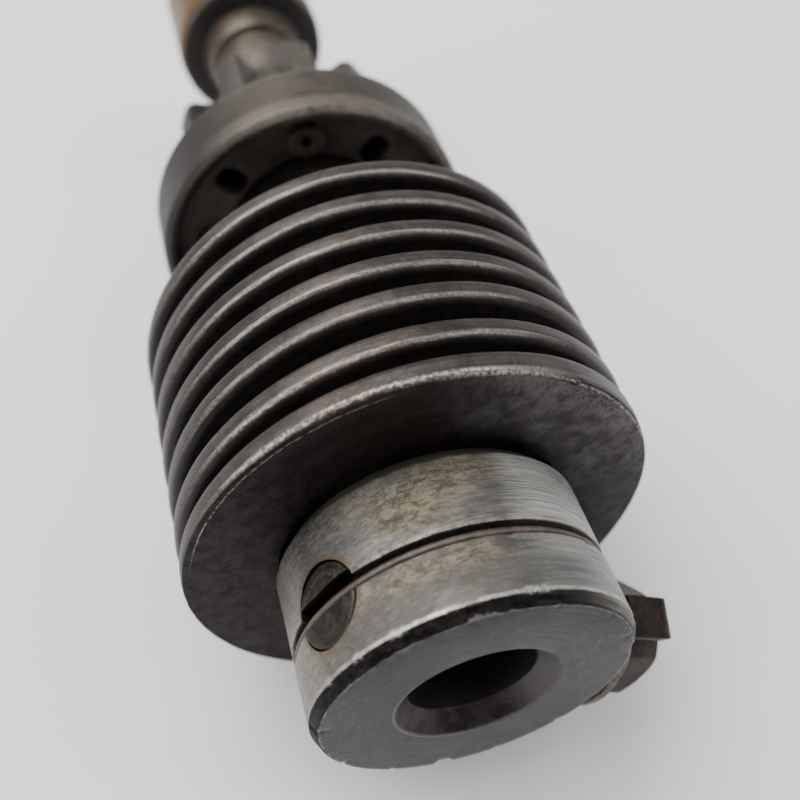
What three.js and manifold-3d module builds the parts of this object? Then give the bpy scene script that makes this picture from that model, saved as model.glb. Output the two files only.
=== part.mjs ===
// Inertia starter drive: a clamped drive collar, a heavy ground-end drive spring, a screwed
// sleeve on a plain shaft, a pinion with its drum, and a brass end bush.
// Millimetres, +Z up. The shaft axis is +Y, with the collar at the front and the bush at the
// rear. Places along the axis are measured rearwards from the collar's front face; add() then
// moves every piece so that the centre of the shaft's rear end face is at the origin.
// Names ending in _Y that hold a pair are [front, rear]. Names ending in _RI are bore radii.
import * as THREE from 'three';
import { mergeVertices } from 'three/addons/utils/BufferGeometryUtils.js';
import Module from 'manifold-3d';

// ---------------------------------------------------------------- shared dimensions
const ROLL = -17.6;                 // degrees the marked features are turned about the axis
const FACE_GAP = 0.02;              // keeps touching pieces just apart

const COLLAR_R = 16;
const COLLAR_LEN = 17.45;
const BORE_DEPTH = 11.4;
const GROOVE_Y = [6.95, 8.35];      // groove round the collar
const GROOVE_MID_Y = (GROOVE_Y[0] + GROOVE_Y[1]) / 2;
const FIX_Y = 7.6;                  // axial place of the lock screw and the clamp stud

const SPRING_REAR = 50.3;

const SHAFT_R = 7.1;
const SHAFT_BAND_Y = [113.5, 119];  // raised band ahead of the journal
const JOURNAL_R = 6;
const SHAFT_END = 141;

const SEAT_RI = 8.4;
const SEAT_REAR = SPRING_REAR + 2.2;
const SLEEVE_CREST_R = 8.65;
const SLEEVE_CLEARANCE = 0.25;      // of the pieces that run over the sleeve's screw

const DRUM_Y = [66.9, 77];
const HUB_HOLE_R = 11;              // hole through drum and plate

// ---------------------------------------------------------------- finishes
const METALNESS = 0.9;
const FINISHES = {
  collar: { color: 0x8d8f90, roughness: 0.42 },
  screw: { color: 0x5b5148, roughness: 0.55 },
  lockRing: { color: 0x6a4a38, roughness: 0.6 },
  stud: { color: 0x4c4038, roughness: 0.6 },
  clampHardware: { color: 0x54463a, roughness: 0.65 },
  spring: { color: 0x3a3431, roughness: 0.5 },
  shaft: { color: 0x6f6962, roughness: 0.45 },
  seat: { color: 0x4a443f, roughness: 0.5 },
  sleeve: { color: 0x655f58, roughness: 0.45 },
  thrustRing: { color: 0x5d5750, roughness: 0.5 },
  drum: { color: 0x6b665d, roughness: 0.5 },
  plate: { color: 0x37312d, roughness: 0.6 },
  rivet: { color: 0x45403a, roughness: 0.6 },
  controlNut: { color: 0x4f4a44, roughness: 0.5 },
  pinion: { color: 0x6a645b, roughness: 0.5 },
  endWasher: { color: 0x25221f, roughness: 0.6 },
  brass: { color: 0xb08a3e, roughness: 0.4 },
};

// ---------------------------------------------------------------- solids
const wasm = await Module();
wasm.setup();

// Welds the vertices, drops collapsed triangles and turns the faces outwards.
function clean(geometry) {
  let welded = geometry.clone();
  for (const name of Object.keys(welded.attributes)) {
    if (name !== 'position') welded.deleteAttribute(name);
  }
  welded = mergeVertices(welded, 1e-4);
  const { position } = welded.attributes;
  const corners = [0, 1, 2].map(() => new THREE.Vector3());
  const indices = [];
  let volume = 0;
  for (let i = 0; i < welded.index.count; i += 3) {
    const face = [0, 1, 2].map((k) => welded.index.getX(i + k));
    if (new Set(face).size < 3) continue;
    indices.push(...face);
    corners.forEach((corner, k) => corner.fromBufferAttribute(position, face[k]));
    volume += corners[0].dot(corners[1].cross(corners[2])) / 6;
  }
  if (volume < 0) {
    for (let i = 0; i < indices.length; i += 3) {
      [indices[i + 1], indices[i + 2]] = [indices[i + 2], indices[i + 1]];
    }
  }
  welded.setIndex(indices);
  return welded;
}

function toManifold(geometry) {
  const welded = clean(geometry);
  return new wasm.Manifold(new wasm.Mesh({
    numProp: 3,
    vertProperties: new Float32Array(welded.attributes.position.array),
    triVerts: new Uint32Array(welded.index.array),
  }));
}

function fromManifold(solid) {
  const mesh = solid.simplify(0.003).getMesh();
  const geometry = new THREE.BufferGeometry();
  const positions = new Float32Array(mesh.vertProperties);
  geometry.setAttribute('position', new THREE.BufferAttribute(positions, 3));
  geometry.setIndex(new THREE.BufferAttribute(new Uint32Array(mesh.triVerts), 1));
  return clean(geometry);
}

function cut(base, ...tools) {
  return fromManifold(tools.reduce((solid, t) => solid.subtract(toManifold(t)), toManifold(base)));
}

function join(base, ...parts) {
  return fromManifold(parts.reduce((solid, p) => solid.add(toManifold(p)), toManifold(base)));
}

// The part of a blank inside an envelope, less a bore.
function trimAndBore(blank, envelope, bore) {
  const trimmed = toManifold(blank).intersect(toManifold(envelope));
  return fromManifold(trimmed.subtract(toManifold(bore)));
}

// ---------------------------------------------------------------- shapes
const rad = (degrees) => degrees * Math.PI / 180;

// feature angle in degrees to radians about the shaft, from +X towards +Z
const around = (degrees) => rad(degrees + ROLL);

// four feature angles a quarter turn apart
const quarters = (first) => [0, 1, 2, 3].map((i) => around(first + 90 * i));

const polar = (radius, angle, y) => [radius * Math.cos(angle), y, radius * Math.sin(angle)];

// closed profile of [radius, y] points turned about the shaft axis
function turned(profile, segments) {
  const points = profile.map(([radius, y]) => new THREE.Vector2(radius, y));
  if (profile[0][0] > 1e-6) points.push(points[0].clone());
  return new THREE.LatheGeometry(points, segments);
}

// plain ring round the shaft axis, solid where the inner radius is 0
function ring(inner, outer, [front, rear], segments) {
  return turned([[inner, front], [outer, front], [outer, rear], [inner, rear]], segments);
}

// cylinder along +Y between two heights
function rod(radius, from, to, segments) {
  const geometry = new THREE.CylinderGeometry(radius, radius, to - from, segments);
  return geometry.translate(0, (from + to) / 2, 0);
}

// box set outwards at an angle; sizes are radial, along the axis, tangential
function block(sizes, radius, angle, y) {
  return new THREE.BoxGeometry(...sizes).translate(radius, 0, 0).rotateY(-angle).translate(0, y, 0);
}

// moves every vertex to the [x, y, z] that place(x, y, z) returns
function warp(geometry, place) {
  const { position } = geometry.attributes;
  for (let i = 0; i < position.count; i++) {
    position.setXYZ(i, ...place(position.getX(i), position.getY(i), position.getZ(i)));
  }
  return geometry;
}

// prism along +Z from an outline of [angle, radius] points
function polarPrism(outline, options) {
  const shape = new THREE.Shape(outline.map(([angle, radius]) => (
    new THREE.Vector2(radius * Math.cos(angle), radius * Math.sin(angle)))));
  shape.closePath();
  return new THREE.ExtrudeGeometry(shape, { ...options, bevelEnabled: false });
}

// ---------------------------------------------------------------- drive collar and lock screw
const FRONT_CHAMFER = { along: 0.9, radial: 0.42 };
const REAR_CHAMFER = { along: 1.5, radial: 1.15 };
const BORE_R = 6.45;
const BORE_MOUTH_R = 8.25;
const BORE_MOUTH_DEPTH = 1.9;
const SPIGOT_HOLE_R = 7.15;         // wider bore at the rear
const GROOVE_R = 14.85;

const SCREW_ANGLE = around(159);
const SCREW_HEAD_R = 3.85;
const SCREW_HEAD_BASE = 12.7;
const SCREW_HEAD_TOP = 15.95;
const SCREW_SHANK_R = 2.45;
const SCREW_SLOT_W = 1.5;
const SCREW_SLOT_BOTTOM = 14.3;
const SLOT_CUTTER = { depth: 4, length: 12 };

const STUD_ANGLE = around(-15.4);
const STUD_R = 2.95;
const STUD_END = 24.7;

const FIXING_START = 7;             // inner end of screw and stud
const FIXING_HOLE_START = 3;
const FIXING_HOLE_END = 20;         // beyond the collar's round
const FIXING_CLEARANCE = 0.12;
const HEAD_CLEARANCE = 0.15;

// turns an upright piece on +Y outwards at an angle, in the plane of the fixings
function layOutwards(geometry, angle) {
  return geometry.rotateZ(-Math.PI / 2).rotateY(-angle).translate(0, FIX_Y, 0);
}

// cylinder pointing outwards between two radii
function post(radius, from, to, angle, segments) {
  return layOutwards(rod(radius, from, to, segments), angle);
}

function driveCollar() {
  const body = turned([
    [BORE_R, BORE_MOUTH_DEPTH], [BORE_MOUTH_R, 0],
    [COLLAR_R - FRONT_CHAMFER.radial, 0], [COLLAR_R, FRONT_CHAMFER.along],
    [COLLAR_R, GROOVE_Y[0]], [GROOVE_R, GROOVE_Y[0]],
    [GROOVE_R, GROOVE_Y[1]], [COLLAR_R, GROOVE_Y[1]],
    [COLLAR_R, COLLAR_LEN - REAR_CHAMFER.along], [COLLAR_R - REAR_CHAMFER.radial, COLLAR_LEN],
    [SPIGOT_HOLE_R, COLLAR_LEN], [SPIGOT_HOLE_R, BORE_DEPTH], [BORE_R, BORE_DEPTH],
  ], 48);
  const headR = SCREW_HEAD_R + HEAD_CLEARANCE;
  const shankR = SCREW_SHANK_R + FIXING_CLEARANCE;
  const studR = STUD_R + FIXING_CLEARANCE;
  return cut(body,
    post(headR, SCREW_HEAD_BASE - 0.1, FIXING_HOLE_END, SCREW_ANGLE, 28),
    post(shankR, FIXING_HOLE_START, 14, SCREW_ANGLE, 20),
    post(studR, FIXING_HOLE_START, FIXING_HOLE_END, STUD_ANGLE, 20));
}

// head let into the collar, its slot in line with the groove
function lockScrew() {
  const head = post(SCREW_HEAD_R, SCREW_HEAD_BASE, SCREW_HEAD_TOP, SCREW_ANGLE, 28);
  const shank = post(SCREW_SHANK_R, FIXING_START, SCREW_HEAD_BASE + 0.5, SCREW_ANGLE, 20);
  const { depth, length } = SLOT_CUTTER;
  const slot = block([depth, SCREW_SLOT_W, length],
    SCREW_SLOT_BOTTOM + depth / 2, SCREW_ANGLE, GROOVE_MID_Y);
  return cut(join(head, shank), slot);
}

// ---------------------------------------------------------------- lock ring
const RING_WIRE_R = 0.45;
const RING_MEAN_R = 15.4;
const RING_Y = GROOVE_Y[0] + RING_WIRE_R + 0.06;
const RING_GAP = 34;                // degrees, centred on the clamp stud

// wire ring that lies in the groove and through the screw slot
function lockRing() {
  const middle = STUD_ANGLE + Math.PI;
  const half = Math.PI - rad(RING_GAP / 2);
  return warp(new THREE.CylinderGeometry(1, 1, 1, 6, 48), (x, y, z) => {
    const angle = middle - half + 2 * half * (y + 0.5);
    return polar(RING_MEAN_R + x * RING_WIRE_R, angle, RING_Y + z * RING_WIRE_R);
  });
}

// ---------------------------------------------------------------- clamp stud, washer and nut
const WASHER_BASE = COLLAR_R + FACE_GAP;      // the washer lies on the collar's round
const WASHER_TOP = COLLAR_R + 1.3;
const WASHER_R = 7.7;
const WASHER_HOLE_CLEARANCE = 0.15;
const TAB_W = 4.2;
const TAB_TURN = 111;               // degrees about the stud
const LUG = { height: 5.7, thick: 1.4, offset: 7.95 };    // offset from the stud's axis
const FOOT = { length: 3.6, offset: 6.85 };

const NUT_BASE = WASHER_TOP + FACE_GAP;
const NUT_TOP = NUT_BASE + 6.4;
const NUT_CORNER_R = 11 / 2 / Math.cos(Math.PI / 6);      // 11 across flats
const NUT_SPIN = -5;                // degrees about the stud
const NUT_ENVELOPE_R = NUT_CORNER_R * 1.02;
const NUT_TOP_R = NUT_CORNER_R * 0.9;

// washer with a lug bent up beside the nut, on a foot that reaches the washer
function tabWasher() {
  const lug = new THREE.BoxGeometry(LUG.height, LUG.thick, TAB_W)
    .translate(WASHER_BASE + LUG.height / 2, LUG.offset, 0);
  const thickness = WASHER_TOP - WASHER_BASE;
  const foot = new THREE.BoxGeometry(thickness, FOOT.length, TAB_W)
    .translate(WASHER_BASE + thickness / 2, FOOT.offset, 0);
  const tab = join(lug, foot).rotateX(rad(TAB_TURN)).rotateY(-STUD_ANGLE).translate(0, FIX_Y, 0);
  const disc = post(WASHER_R, WASHER_BASE, WASHER_TOP, STUD_ANGLE, 36);
  return cut(join(disc, tab), post(STUD_R + WASHER_HOLE_CLEARANCE, 10, 40, STUD_ANGLE, 20));
}

// hexagon with its outer corners chamfered
function clampNut() {
  const hexagon = rod(NUT_CORNER_R, NUT_BASE, NUT_TOP, 6).rotateY(rad(NUT_SPIN));
  const envelope = turned([
    [0, NUT_TOP], [NUT_TOP_R, NUT_TOP], [NUT_ENVELOPE_R, NUT_TOP - FACE_GAP - 0.8],
    [NUT_ENVELOPE_R, WASHER_TOP - 1], [0, WASHER_TOP - 1],
  ], 36);
  const bore = rod(STUD_R + FIXING_CLEARANCE, 0, 40, 20);
  return layOutwards(trimAndBore(hexagon, envelope, bore), STUD_ANGLE);
}

// ---------------------------------------------------------------- drive spring
const SPRING_R = 25.1;
const SPRING_RI = 15.5;
const SPRING_FRONT = COLLAR_LEN + 0.05;
const SPRING_TIP = 72;              // feature angle of the wire's front end
const SPRING_TURN = 2600;           // degrees wound
const STEPS_PER_TURN = 24;
const WIRE_T = 2.9;
// extra thickness where the wire backs its ground tip one turn on, fading over 60 degrees
const LAND = { thick: 0.4, at: 360, fade: 60 };

// [degrees from the front tip, axial place of the wire's rear edge]
const SPRING_EDGE = [
  [0, 17.62], [60, 18.4], [340, 20.55], [360, 21], [700, 24.9], [1060, 30.1],
  [1420, 34.75], [1780, 39.6], [2140, 44.65], [2500, 49.9], [2600, 50.9],
];

// wire section: [share of the radial width, share of the axial thickness]
const WIRE_SECTION = [[1, 0.3], [1, 0.7], [0.91, 1], [0, 1], [0, 0], [0.91, 0]];
const WIRE_CENTRE = [0.5, 0.5];

function springEdgeAt(degrees) {
  const next = SPRING_EDGE.findIndex(([end], i) => i > 0 && degrees <= end);
  const [d0, edge0] = SPRING_EDGE[next - 1];
  const [d1, edge1] = SPRING_EDGE[next];
  return edge0 + (edge1 - edge0) * (degrees - d0) / (d1 - d0);
}

// A six-sided bar wound into the coil; both ends are ground flat by limiting its faces.
function driveSpring() {
  const steps = Math.round(SPRING_TURN / 360 * STEPS_PER_TURN);
  return warp(new THREE.CylinderGeometry(1, 1, 1, 6, steps), (x, y, z) => {
    const degrees = (0.5 - y) * SPRING_TURN;
    const edge = springEdgeAt(degrees);
    const land = LAND.thick * Math.max(0, 1 - Math.abs(degrees - LAND.at) / LAND.fade);
    const rear = Math.min(edge, SPRING_REAR);
    const front = Math.max(edge - WIRE_T - land, SPRING_FRONT);
    const onRim = x * x + z * z > 0.25;
    const corner = (Math.round(Math.atan2(x, z) / (Math.PI / 3)) + 6) % 6;
    const [across, along] = onRim ? WIRE_SECTION[corner] : WIRE_CENTRE;
    const radius = SPRING_RI + (SPRING_R - SPRING_RI) * across;
    return polar(radius, around(SPRING_TIP - degrees), front + (rear - front) * along);
  });
}

// ---------------------------------------------------------------- shaft and spring seat
const SHAFT_FRONT = BORE_DEPTH + 0.2;
const NECK = { depth: 0.6, length: 0.8 };     // groove at the front of the band
const BAND_FRONT_R = SHAFT_R + 0.5;
const BAND_REAR_R = SHAFT_R + 1.3;
const BAND_LAND = 0.4;
const END_CHAMFER = { along: 1, radial: 0.8 };

const SEAT_R = 20.6;
const SEAT_CHAMFER = 0.4;

function driveShaft() {
  const [bandFront, bandRear] = SHAFT_BAND_Y;
  return turned([
    [0, SHAFT_FRONT], [SHAFT_R, SHAFT_FRONT], [SHAFT_R, bandFront],
    [SHAFT_R - NECK.depth, bandFront], [SHAFT_R - NECK.depth, bandFront + NECK.length],
    [BAND_FRONT_R, bandFront + NECK.length], [BAND_REAR_R, bandRear - BAND_LAND],
    [BAND_REAR_R, bandRear], [JOURNAL_R, bandRear], [JOURNAL_R, SHAFT_END - END_CHAMFER.along],
    [JOURNAL_R - END_CHAMFER.radial, SHAFT_END], [0, SHAFT_END],
  ], 32);
}

// washer the spring bears on
function springSeat() {
  const front = SPRING_REAR + FACE_GAP;
  return turned([
    [SEAT_RI, front], [SEAT_R - SEAT_CHAMFER, front], [SEAT_R, SPRING_REAR + SEAT_CHAMFER],
    [SEAT_R, SEAT_REAR - SEAT_CHAMFER], [SEAT_R - SEAT_CHAMFER, SEAT_REAR], [SEAT_RI, SEAT_REAR],
  ], 36);
}

// ---------------------------------------------------------------- screwed sleeve
const SLEEVE_RI = SHAFT_R + 0.2;
const SLEEVE_ROOT_R = 8.05;
const SLEEVE_FLANGE_R = 11.2;
const SLEEVE_REAR = 95.5;
const SLEEVE_STARTS = 4;
const SLEEVE_LEAD = 40;
const FLANGE_REAR = SEAT_REAR + 2.6;
const SCREW_FRONT = FLANGE_REAR - 0.2;        // the screw starts inside the flange

// one start of the screw: [sixths of a start, radius]
const THREAD_MARKS = [
  [0, SLEEVE_ROOT_R], [0.7, SLEEVE_CREST_R], [2, SLEEVE_CREST_R], [3.3, SLEEVE_CREST_R],
  [4, SLEEVE_ROOT_R], [5, SLEEVE_ROOT_R],
];

function screwedSleeve() {
  const outline = [];
  for (let i = 0; i < SLEEVE_STARTS; i++) {
    for (const [sixths, radius] of THREAD_MARKS) {
      outline.push([2 * Math.PI * (6 * i + sixths) / (6 * SLEEVE_STARTS), radius]);
    }
  }
  const prism = polarPrism(outline, { depth: SLEEVE_REAR - SCREW_FRONT, steps: 14 });
  const screw = warp(prism, (x, y, z) => {
    const angle = Math.atan2(y, x) + 2 * Math.PI * z / SLEEVE_LEAD;
    return polar(Math.hypot(x, y), -angle, SCREW_FRONT + z);
  });
  const spigotR = SEAT_RI - 0.1;
  const flangeFront = SEAT_REAR + FACE_GAP;
  const flange = turned([
    [0, SPRING_REAR], [spigotR, SPRING_REAR], [spigotR, flangeFront],
    [SLEEVE_FLANGE_R, flangeFront], [SLEEVE_FLANGE_R, FLANGE_REAR], [0, FLANGE_REAR],
  ], 40);
  return cut(join(screw, flange), ring(0, SLEEVE_RI, [0, 150], 32));
}

// ---------------------------------------------------------------- drum, plate and rivets
const DRUM_R = 20.8;
const DRUM_RI = 19;
const DRUM_WEB = 74.4;              // front face of the web
const PLATE_Y = [71.6, DRUM_WEB - 0.1];
const PLATE_R = DRUM_RI - 0.15;
const WINDOW_ANGLES = quarters(66);
const WINDOW_R = [11.6, 15.9];      // inner and outer ends of each window
const WINDOW_W = 3.7;
const RIVET_ANGLES = quarters(108);
const RIVET_PITCH_R = 13.8;
const RIVET_HEAD_R = 2.5;
const RIVET_HEAD_T = 1.3;
const RIVET_R = 1.5;
const RIVET_BORE_R = 0.75;

// cylinder along the axis, centred on the rivet circle
function rivetRod(radius, from, to, angle, segments) {
  return rod(radius, from, to, segments).translate(...polar(RIVET_PITCH_R, angle, 0));
}

const rivetHoles = () => RIVET_ANGLES.map((angle) => rivetRod(RIVET_R + 0.1, 65, 80, angle, 12));

// cup open to the front, with a web at its rear
function drum() {
  const [front, rear] = DRUM_Y;
  return cut(turned([
    [HUB_HOLE_R, DRUM_WEB], [DRUM_RI, DRUM_WEB], [DRUM_RI, front + 0.5], [DRUM_RI + 0.5, front],
    [DRUM_R - 0.7, front], [DRUM_R, front + 0.9], [DRUM_R, rear - 0.8], [DRUM_R - 0.7, rear],
    [HUB_HOLE_R, rear],
  ], 48), ...rivetHoles());
}

function drumPlate() {
  const [inner, outer] = WINDOW_R;
  const middle = (PLATE_Y[0] + PLATE_Y[1]) / 2;
  const windows = WINDOW_ANGLES.map((angle) => (
    block([outer - inner, 8, WINDOW_W], (inner + outer) / 2, angle, middle)));
  return cut(ring(HUB_HOLE_R, PLATE_R, PLATE_Y, 40), ...rivetHoles(), ...windows);
}

// tubular rivet with its head on the plate's front face
function rivet(angle) {
  const face = PLATE_Y[0];
  const head = rivetRod(RIVET_HEAD_R, face - RIVET_HEAD_T, face - FACE_GAP, angle, 16);
  const shank = rivetRod(RIVET_R, face - 0.5, DRUM_Y[1] - 0.1, angle, 12);
  return cut(join(head, shank), rivetRod(RIVET_BORE_R, face - 3, face + 2, angle, 8));
}

// ---------------------------------------------------------------- thrust ring and control nut
const CONTROL_NUT_Y = [66.4, DRUM_Y[1] - 0.1];
const CONTROL_NUT_R = HUB_HOLE_R - 0.15;
const CONTROL_NUT_CHAMFER = 0.5;
const THRUST_Y = [64.6, CONTROL_NUT_Y[0] - 0.2];
const THRUST_R = 11.4;
const OVER_SLEEVE_RI = SLEEVE_CREST_R + SLEEVE_CLEARANCE;

function controlNut() {
  const [front, rear] = CONTROL_NUT_Y;
  return turned([
    [OVER_SLEEVE_RI, front], [CONTROL_NUT_R - CONTROL_NUT_CHAMFER, front],
    [CONTROL_NUT_R, front + CONTROL_NUT_CHAMFER], [CONTROL_NUT_R, rear], [OVER_SLEEVE_RI, rear],
  ], 32);
}

// ---------------------------------------------------------------- pinion
const PINION_TEETH = 9;
const PINION_TIP_R = 15.5;
const PINION_ROOT_R = 11.7;
const PINION_RI = 9;
const PINION_Y = [DRUM_Y[1] + 0.1, 94.5];
const PINION_ANGLE = 55.6;          // feature angle of the first tooth
const PINION_CHAMFER = 0.9;

// one tooth: [share of the pitch from the tooth's middle, radius]
const TOOTH_MARKS = [
  [-0.32, PINION_ROOT_R], [-0.26, PINION_ROOT_R + 1.1], [-0.185, PINION_TIP_R - 0.3],
  [-0.16, PINION_TIP_R], [0.16, PINION_TIP_R], [0.185, PINION_TIP_R - 0.3],
  [0.26, PINION_ROOT_R + 1.1], [0.32, PINION_ROOT_R], [0.5, PINION_ROOT_R - 0.2],
];

function pinion() {
  const [front, rear] = PINION_Y;
  const pitch = 2 * Math.PI / PINION_TEETH;
  const outline = [];
  for (let i = 0; i < PINION_TEETH; i++) {
    for (const [share, radius] of TOOTH_MARKS) {
      outline.push([pitch * (i + share) - around(PINION_ANGLE), radius]);
    }
  }
  const blank = polarPrism(outline, { depth: rear - front })
    .rotateX(-Math.PI / 2)
    .translate(0, front, 0);
  // chamfers the rear ends of the teeth
  const envelopeR = PINION_TIP_R + 0.2;
  const envelope = turned([
    [0, front], [envelopeR, front], [envelopeR, rear - PINION_CHAMFER],
    [PINION_TIP_R - PINION_CHAMFER, rear], [0, rear],
  ], 60);
  return trimAndBore(blank, envelope, ring(0, PINION_RI, [60, 110], 40));
}

// ---------------------------------------------------------------- end washer and bush
const END_WASHER_R = 11.9;
const END_WASHER_RI = JOURNAL_R + 0.12;
const END_WASHER_Y = [SHAFT_BAND_Y[1] + 0.1, 120.9];
const END_WASHER_CHAMFER = 0.3;
const BUSH_R = 12.2;
const BUSH_RI = JOURNAL_R + 0.1;
const BUSH_Y = [END_WASHER_Y[1] + 0.2, 139];
const BUSH_CHAMFER = 0.8;

function endWasher() {
  const [front, rear] = END_WASHER_Y;
  return turned([
    [END_WASHER_RI, front], [END_WASHER_R - END_WASHER_CHAMFER, front],
    [END_WASHER_R, front + END_WASHER_CHAMFER], [END_WASHER_R, rear], [END_WASHER_RI, rear],
  ], 36);
}

function brassBush() {
  const [front, rear] = BUSH_Y;
  return turned([
    [BUSH_RI, front], [BUSH_R, front], [BUSH_R, rear - BUSH_CHAMFER],
    [BUSH_R - BUSH_CHAMFER, rear], [BUSH_RI, rear],
  ], 36);
}

// ---------------------------------------------------------------- assembly
const root = new THREE.Group();
root.name = 'inertia_starter_drive';

// adds a flat-shaded mesh
function add(name, geometry, finish) {
  const flat = clean(geometry).translate(0, -SHAFT_END, 0).toNonIndexed();
  flat.computeVertexNormals();
  const material = new THREE.MeshStandardMaterial({ ...finish, metalness: METALNESS });
  const mesh = new THREE.Mesh(flat, material);
  mesh.name = name;
  root.add(mesh);
}

add('drive_collar', driveCollar(), FINISHES.collar);
add('lock_screw', lockScrew(), FINISHES.screw);
add('lock_ring', lockRing(), FINISHES.lockRing);
add('clamp_stud', post(STUD_R, FIXING_START, STUD_END, STUD_ANGLE, 20), FINISHES.stud);
add('tab_washer', tabWasher(), FINISHES.clampHardware);
add('clamp_nut', clampNut(), FINISHES.clampHardware);
add('drive_spring', driveSpring(), FINISHES.spring);
add('drive_shaft', driveShaft(), FINISHES.shaft);
add('spring_seat', springSeat(), FINISHES.seat);
add('screwed_sleeve', screwedSleeve(), FINISHES.sleeve);
add('thrust_ring', ring(OVER_SLEEVE_RI, THRUST_R, THRUST_Y, 32), FINISHES.thrustRing);
add('drum', drum(), FINISHES.drum);
add('drum_plate', drumPlate(), FINISHES.plate);
RIVET_ANGLES.forEach((angle, i) => add(`rivet_${i + 1}`, rivet(angle), FINISHES.rivet));
add('control_nut', controlNut(), FINISHES.controlNut);
add('pinion', pinion(), FINISHES.pinion);
add('end_washer', endWasher(), FINISHES.endWasher);
add('brass_bush', brassBush(), FINISHES.brass);

export default root;
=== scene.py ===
"""A drive shaft with its collar, coil spring, screwed sleeve, drum, pinion and end bush.

The shaft lies along Y and the frame's origin is its free (rear) end. The collar's front face
looks towards -Y, +X is to the right seen from the front, and +Z is up. Sizes are millimetres
and depth is measured from the collar's front face towards the rear. Angles about the shaft
run from +X towards +Z.
"""

import functools
import math

import bpy
import bmesh
import numpy as np
from mathutils import Matrix, Vector, noise


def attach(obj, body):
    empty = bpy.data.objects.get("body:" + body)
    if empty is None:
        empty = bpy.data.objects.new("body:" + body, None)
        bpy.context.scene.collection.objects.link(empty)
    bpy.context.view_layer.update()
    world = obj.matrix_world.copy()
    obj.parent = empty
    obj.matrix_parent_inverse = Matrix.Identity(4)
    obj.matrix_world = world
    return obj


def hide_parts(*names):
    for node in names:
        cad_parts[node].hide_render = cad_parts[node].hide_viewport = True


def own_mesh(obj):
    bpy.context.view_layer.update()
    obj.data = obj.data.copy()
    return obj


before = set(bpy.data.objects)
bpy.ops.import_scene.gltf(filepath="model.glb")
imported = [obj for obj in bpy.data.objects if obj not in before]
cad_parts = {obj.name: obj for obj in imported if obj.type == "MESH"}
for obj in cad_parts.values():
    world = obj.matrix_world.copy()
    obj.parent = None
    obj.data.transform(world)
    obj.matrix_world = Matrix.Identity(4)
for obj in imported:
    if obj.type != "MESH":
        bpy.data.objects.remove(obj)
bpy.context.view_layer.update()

MM = 0.001
SHAFT_END = 141.0       # depth of the shaft's free end
ROLL = -17.6            # degrees the whole assembly is turned about the shaft


def rolled(degrees):
    return math.radians(degrees + ROLL)


def world_y(depth):
    return (depth - SHAFT_END) * MM


# ------------------------------------------------------------------ driving sizes
COLLAR_R = 16.0
SCREW_ANGLE = rolled(159)
STUD_ANGLE = rolled(-15.4)
FIX_DEPTH = 7.6         # depth of the screw's and the stud's axes

WASHER_BASE = COLLAR_R + 0.02
WASHER_TOP = 17.3
LUG_TURN = math.radians(111)    # the washer's lug, turned about the stud

NUT_R = 11.0 / 2 / math.cos(math.pi / 6)    # across corners, from 11 across flats
NUT_BASE = WASHER_TOP + 0.02
NUT_TOP = WASHER_TOP + 6.42

SPRING_FRONT, SPRING_REAR = 17.5, 50.3
SPRING_R, SPRING_BORE_R = 25.1, 15.5
SEAT_FRONT = SPRING_REAR + 0.02

RIVET_PITCH_R = 13.8
RIVET_ANGLES = [rolled(108 + 90 * i) for i in range(4)]
WINDOW_ANGLES = [rolled(66 + 90 * i) for i in range(4)]


def fractal(x, y, z, octaves):
    return noise.fractal(Vector((x, y, z)), 1.0, 2.0, octaves)


# ------------------------------------------------------------------ mesh helpers
def smooth(mesh, sharp):
    """Smooth shading with edges over `sharp` degrees kept crisp."""
    for polygon in mesh.polygons:
        polygon.use_smooth = True
    mesh.set_sharp_from_angle(angle=math.radians(sharp))


def finish_mesh(ob, sharp):
    shell = bmesh.new()
    shell.from_mesh(ob.data)
    bmesh.ops.recalc_face_normals(shell, faces=shell.faces)
    shell.to_mesh(ob.data)
    shell.free()
    smooth(ob.data, sharp)


def new_object(name, verts, faces, attributes, material, sharp=32.0):
    """verts are (x, depth, z) in millimetres; attributes are one number per vertex."""
    mesh = bpy.data.meshes.new(name)
    places = np.array(verts, float)
    places[:, 1] -= SHAFT_END
    places *= MM
    mesh.from_pydata([tuple(p) for p in places], [], faces)
    mesh.update()
    for key, values in attributes.items():
        layer = mesh.attributes.new(key, "FLOAT", "POINT")
        layer.data.foreach_set("value", np.array(values, np.float32))
    ob = bpy.data.objects.new(name, mesh)
    bpy.context.scene.collection.objects.link(ob)
    finish_mesh(ob, sharp)
    if material:
        mesh.materials.append(material)
    return ob


def settle(ob, body, node, slot):
    """Hands a finished piece to the frame."""
    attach(ob, body)
    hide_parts(node)


def bake(ob, sharp=32.0):
    """Applies every modifier."""
    depsgraph = bpy.context.evaluated_depsgraph_get()
    mesh = bpy.data.meshes.new_from_object(ob.evaluated_get(depsgraph))
    old = ob.data
    ob.modifiers.clear()
    ob.data = mesh
    bpy.data.meshes.remove(old)
    smooth(mesh, sharp)


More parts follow.
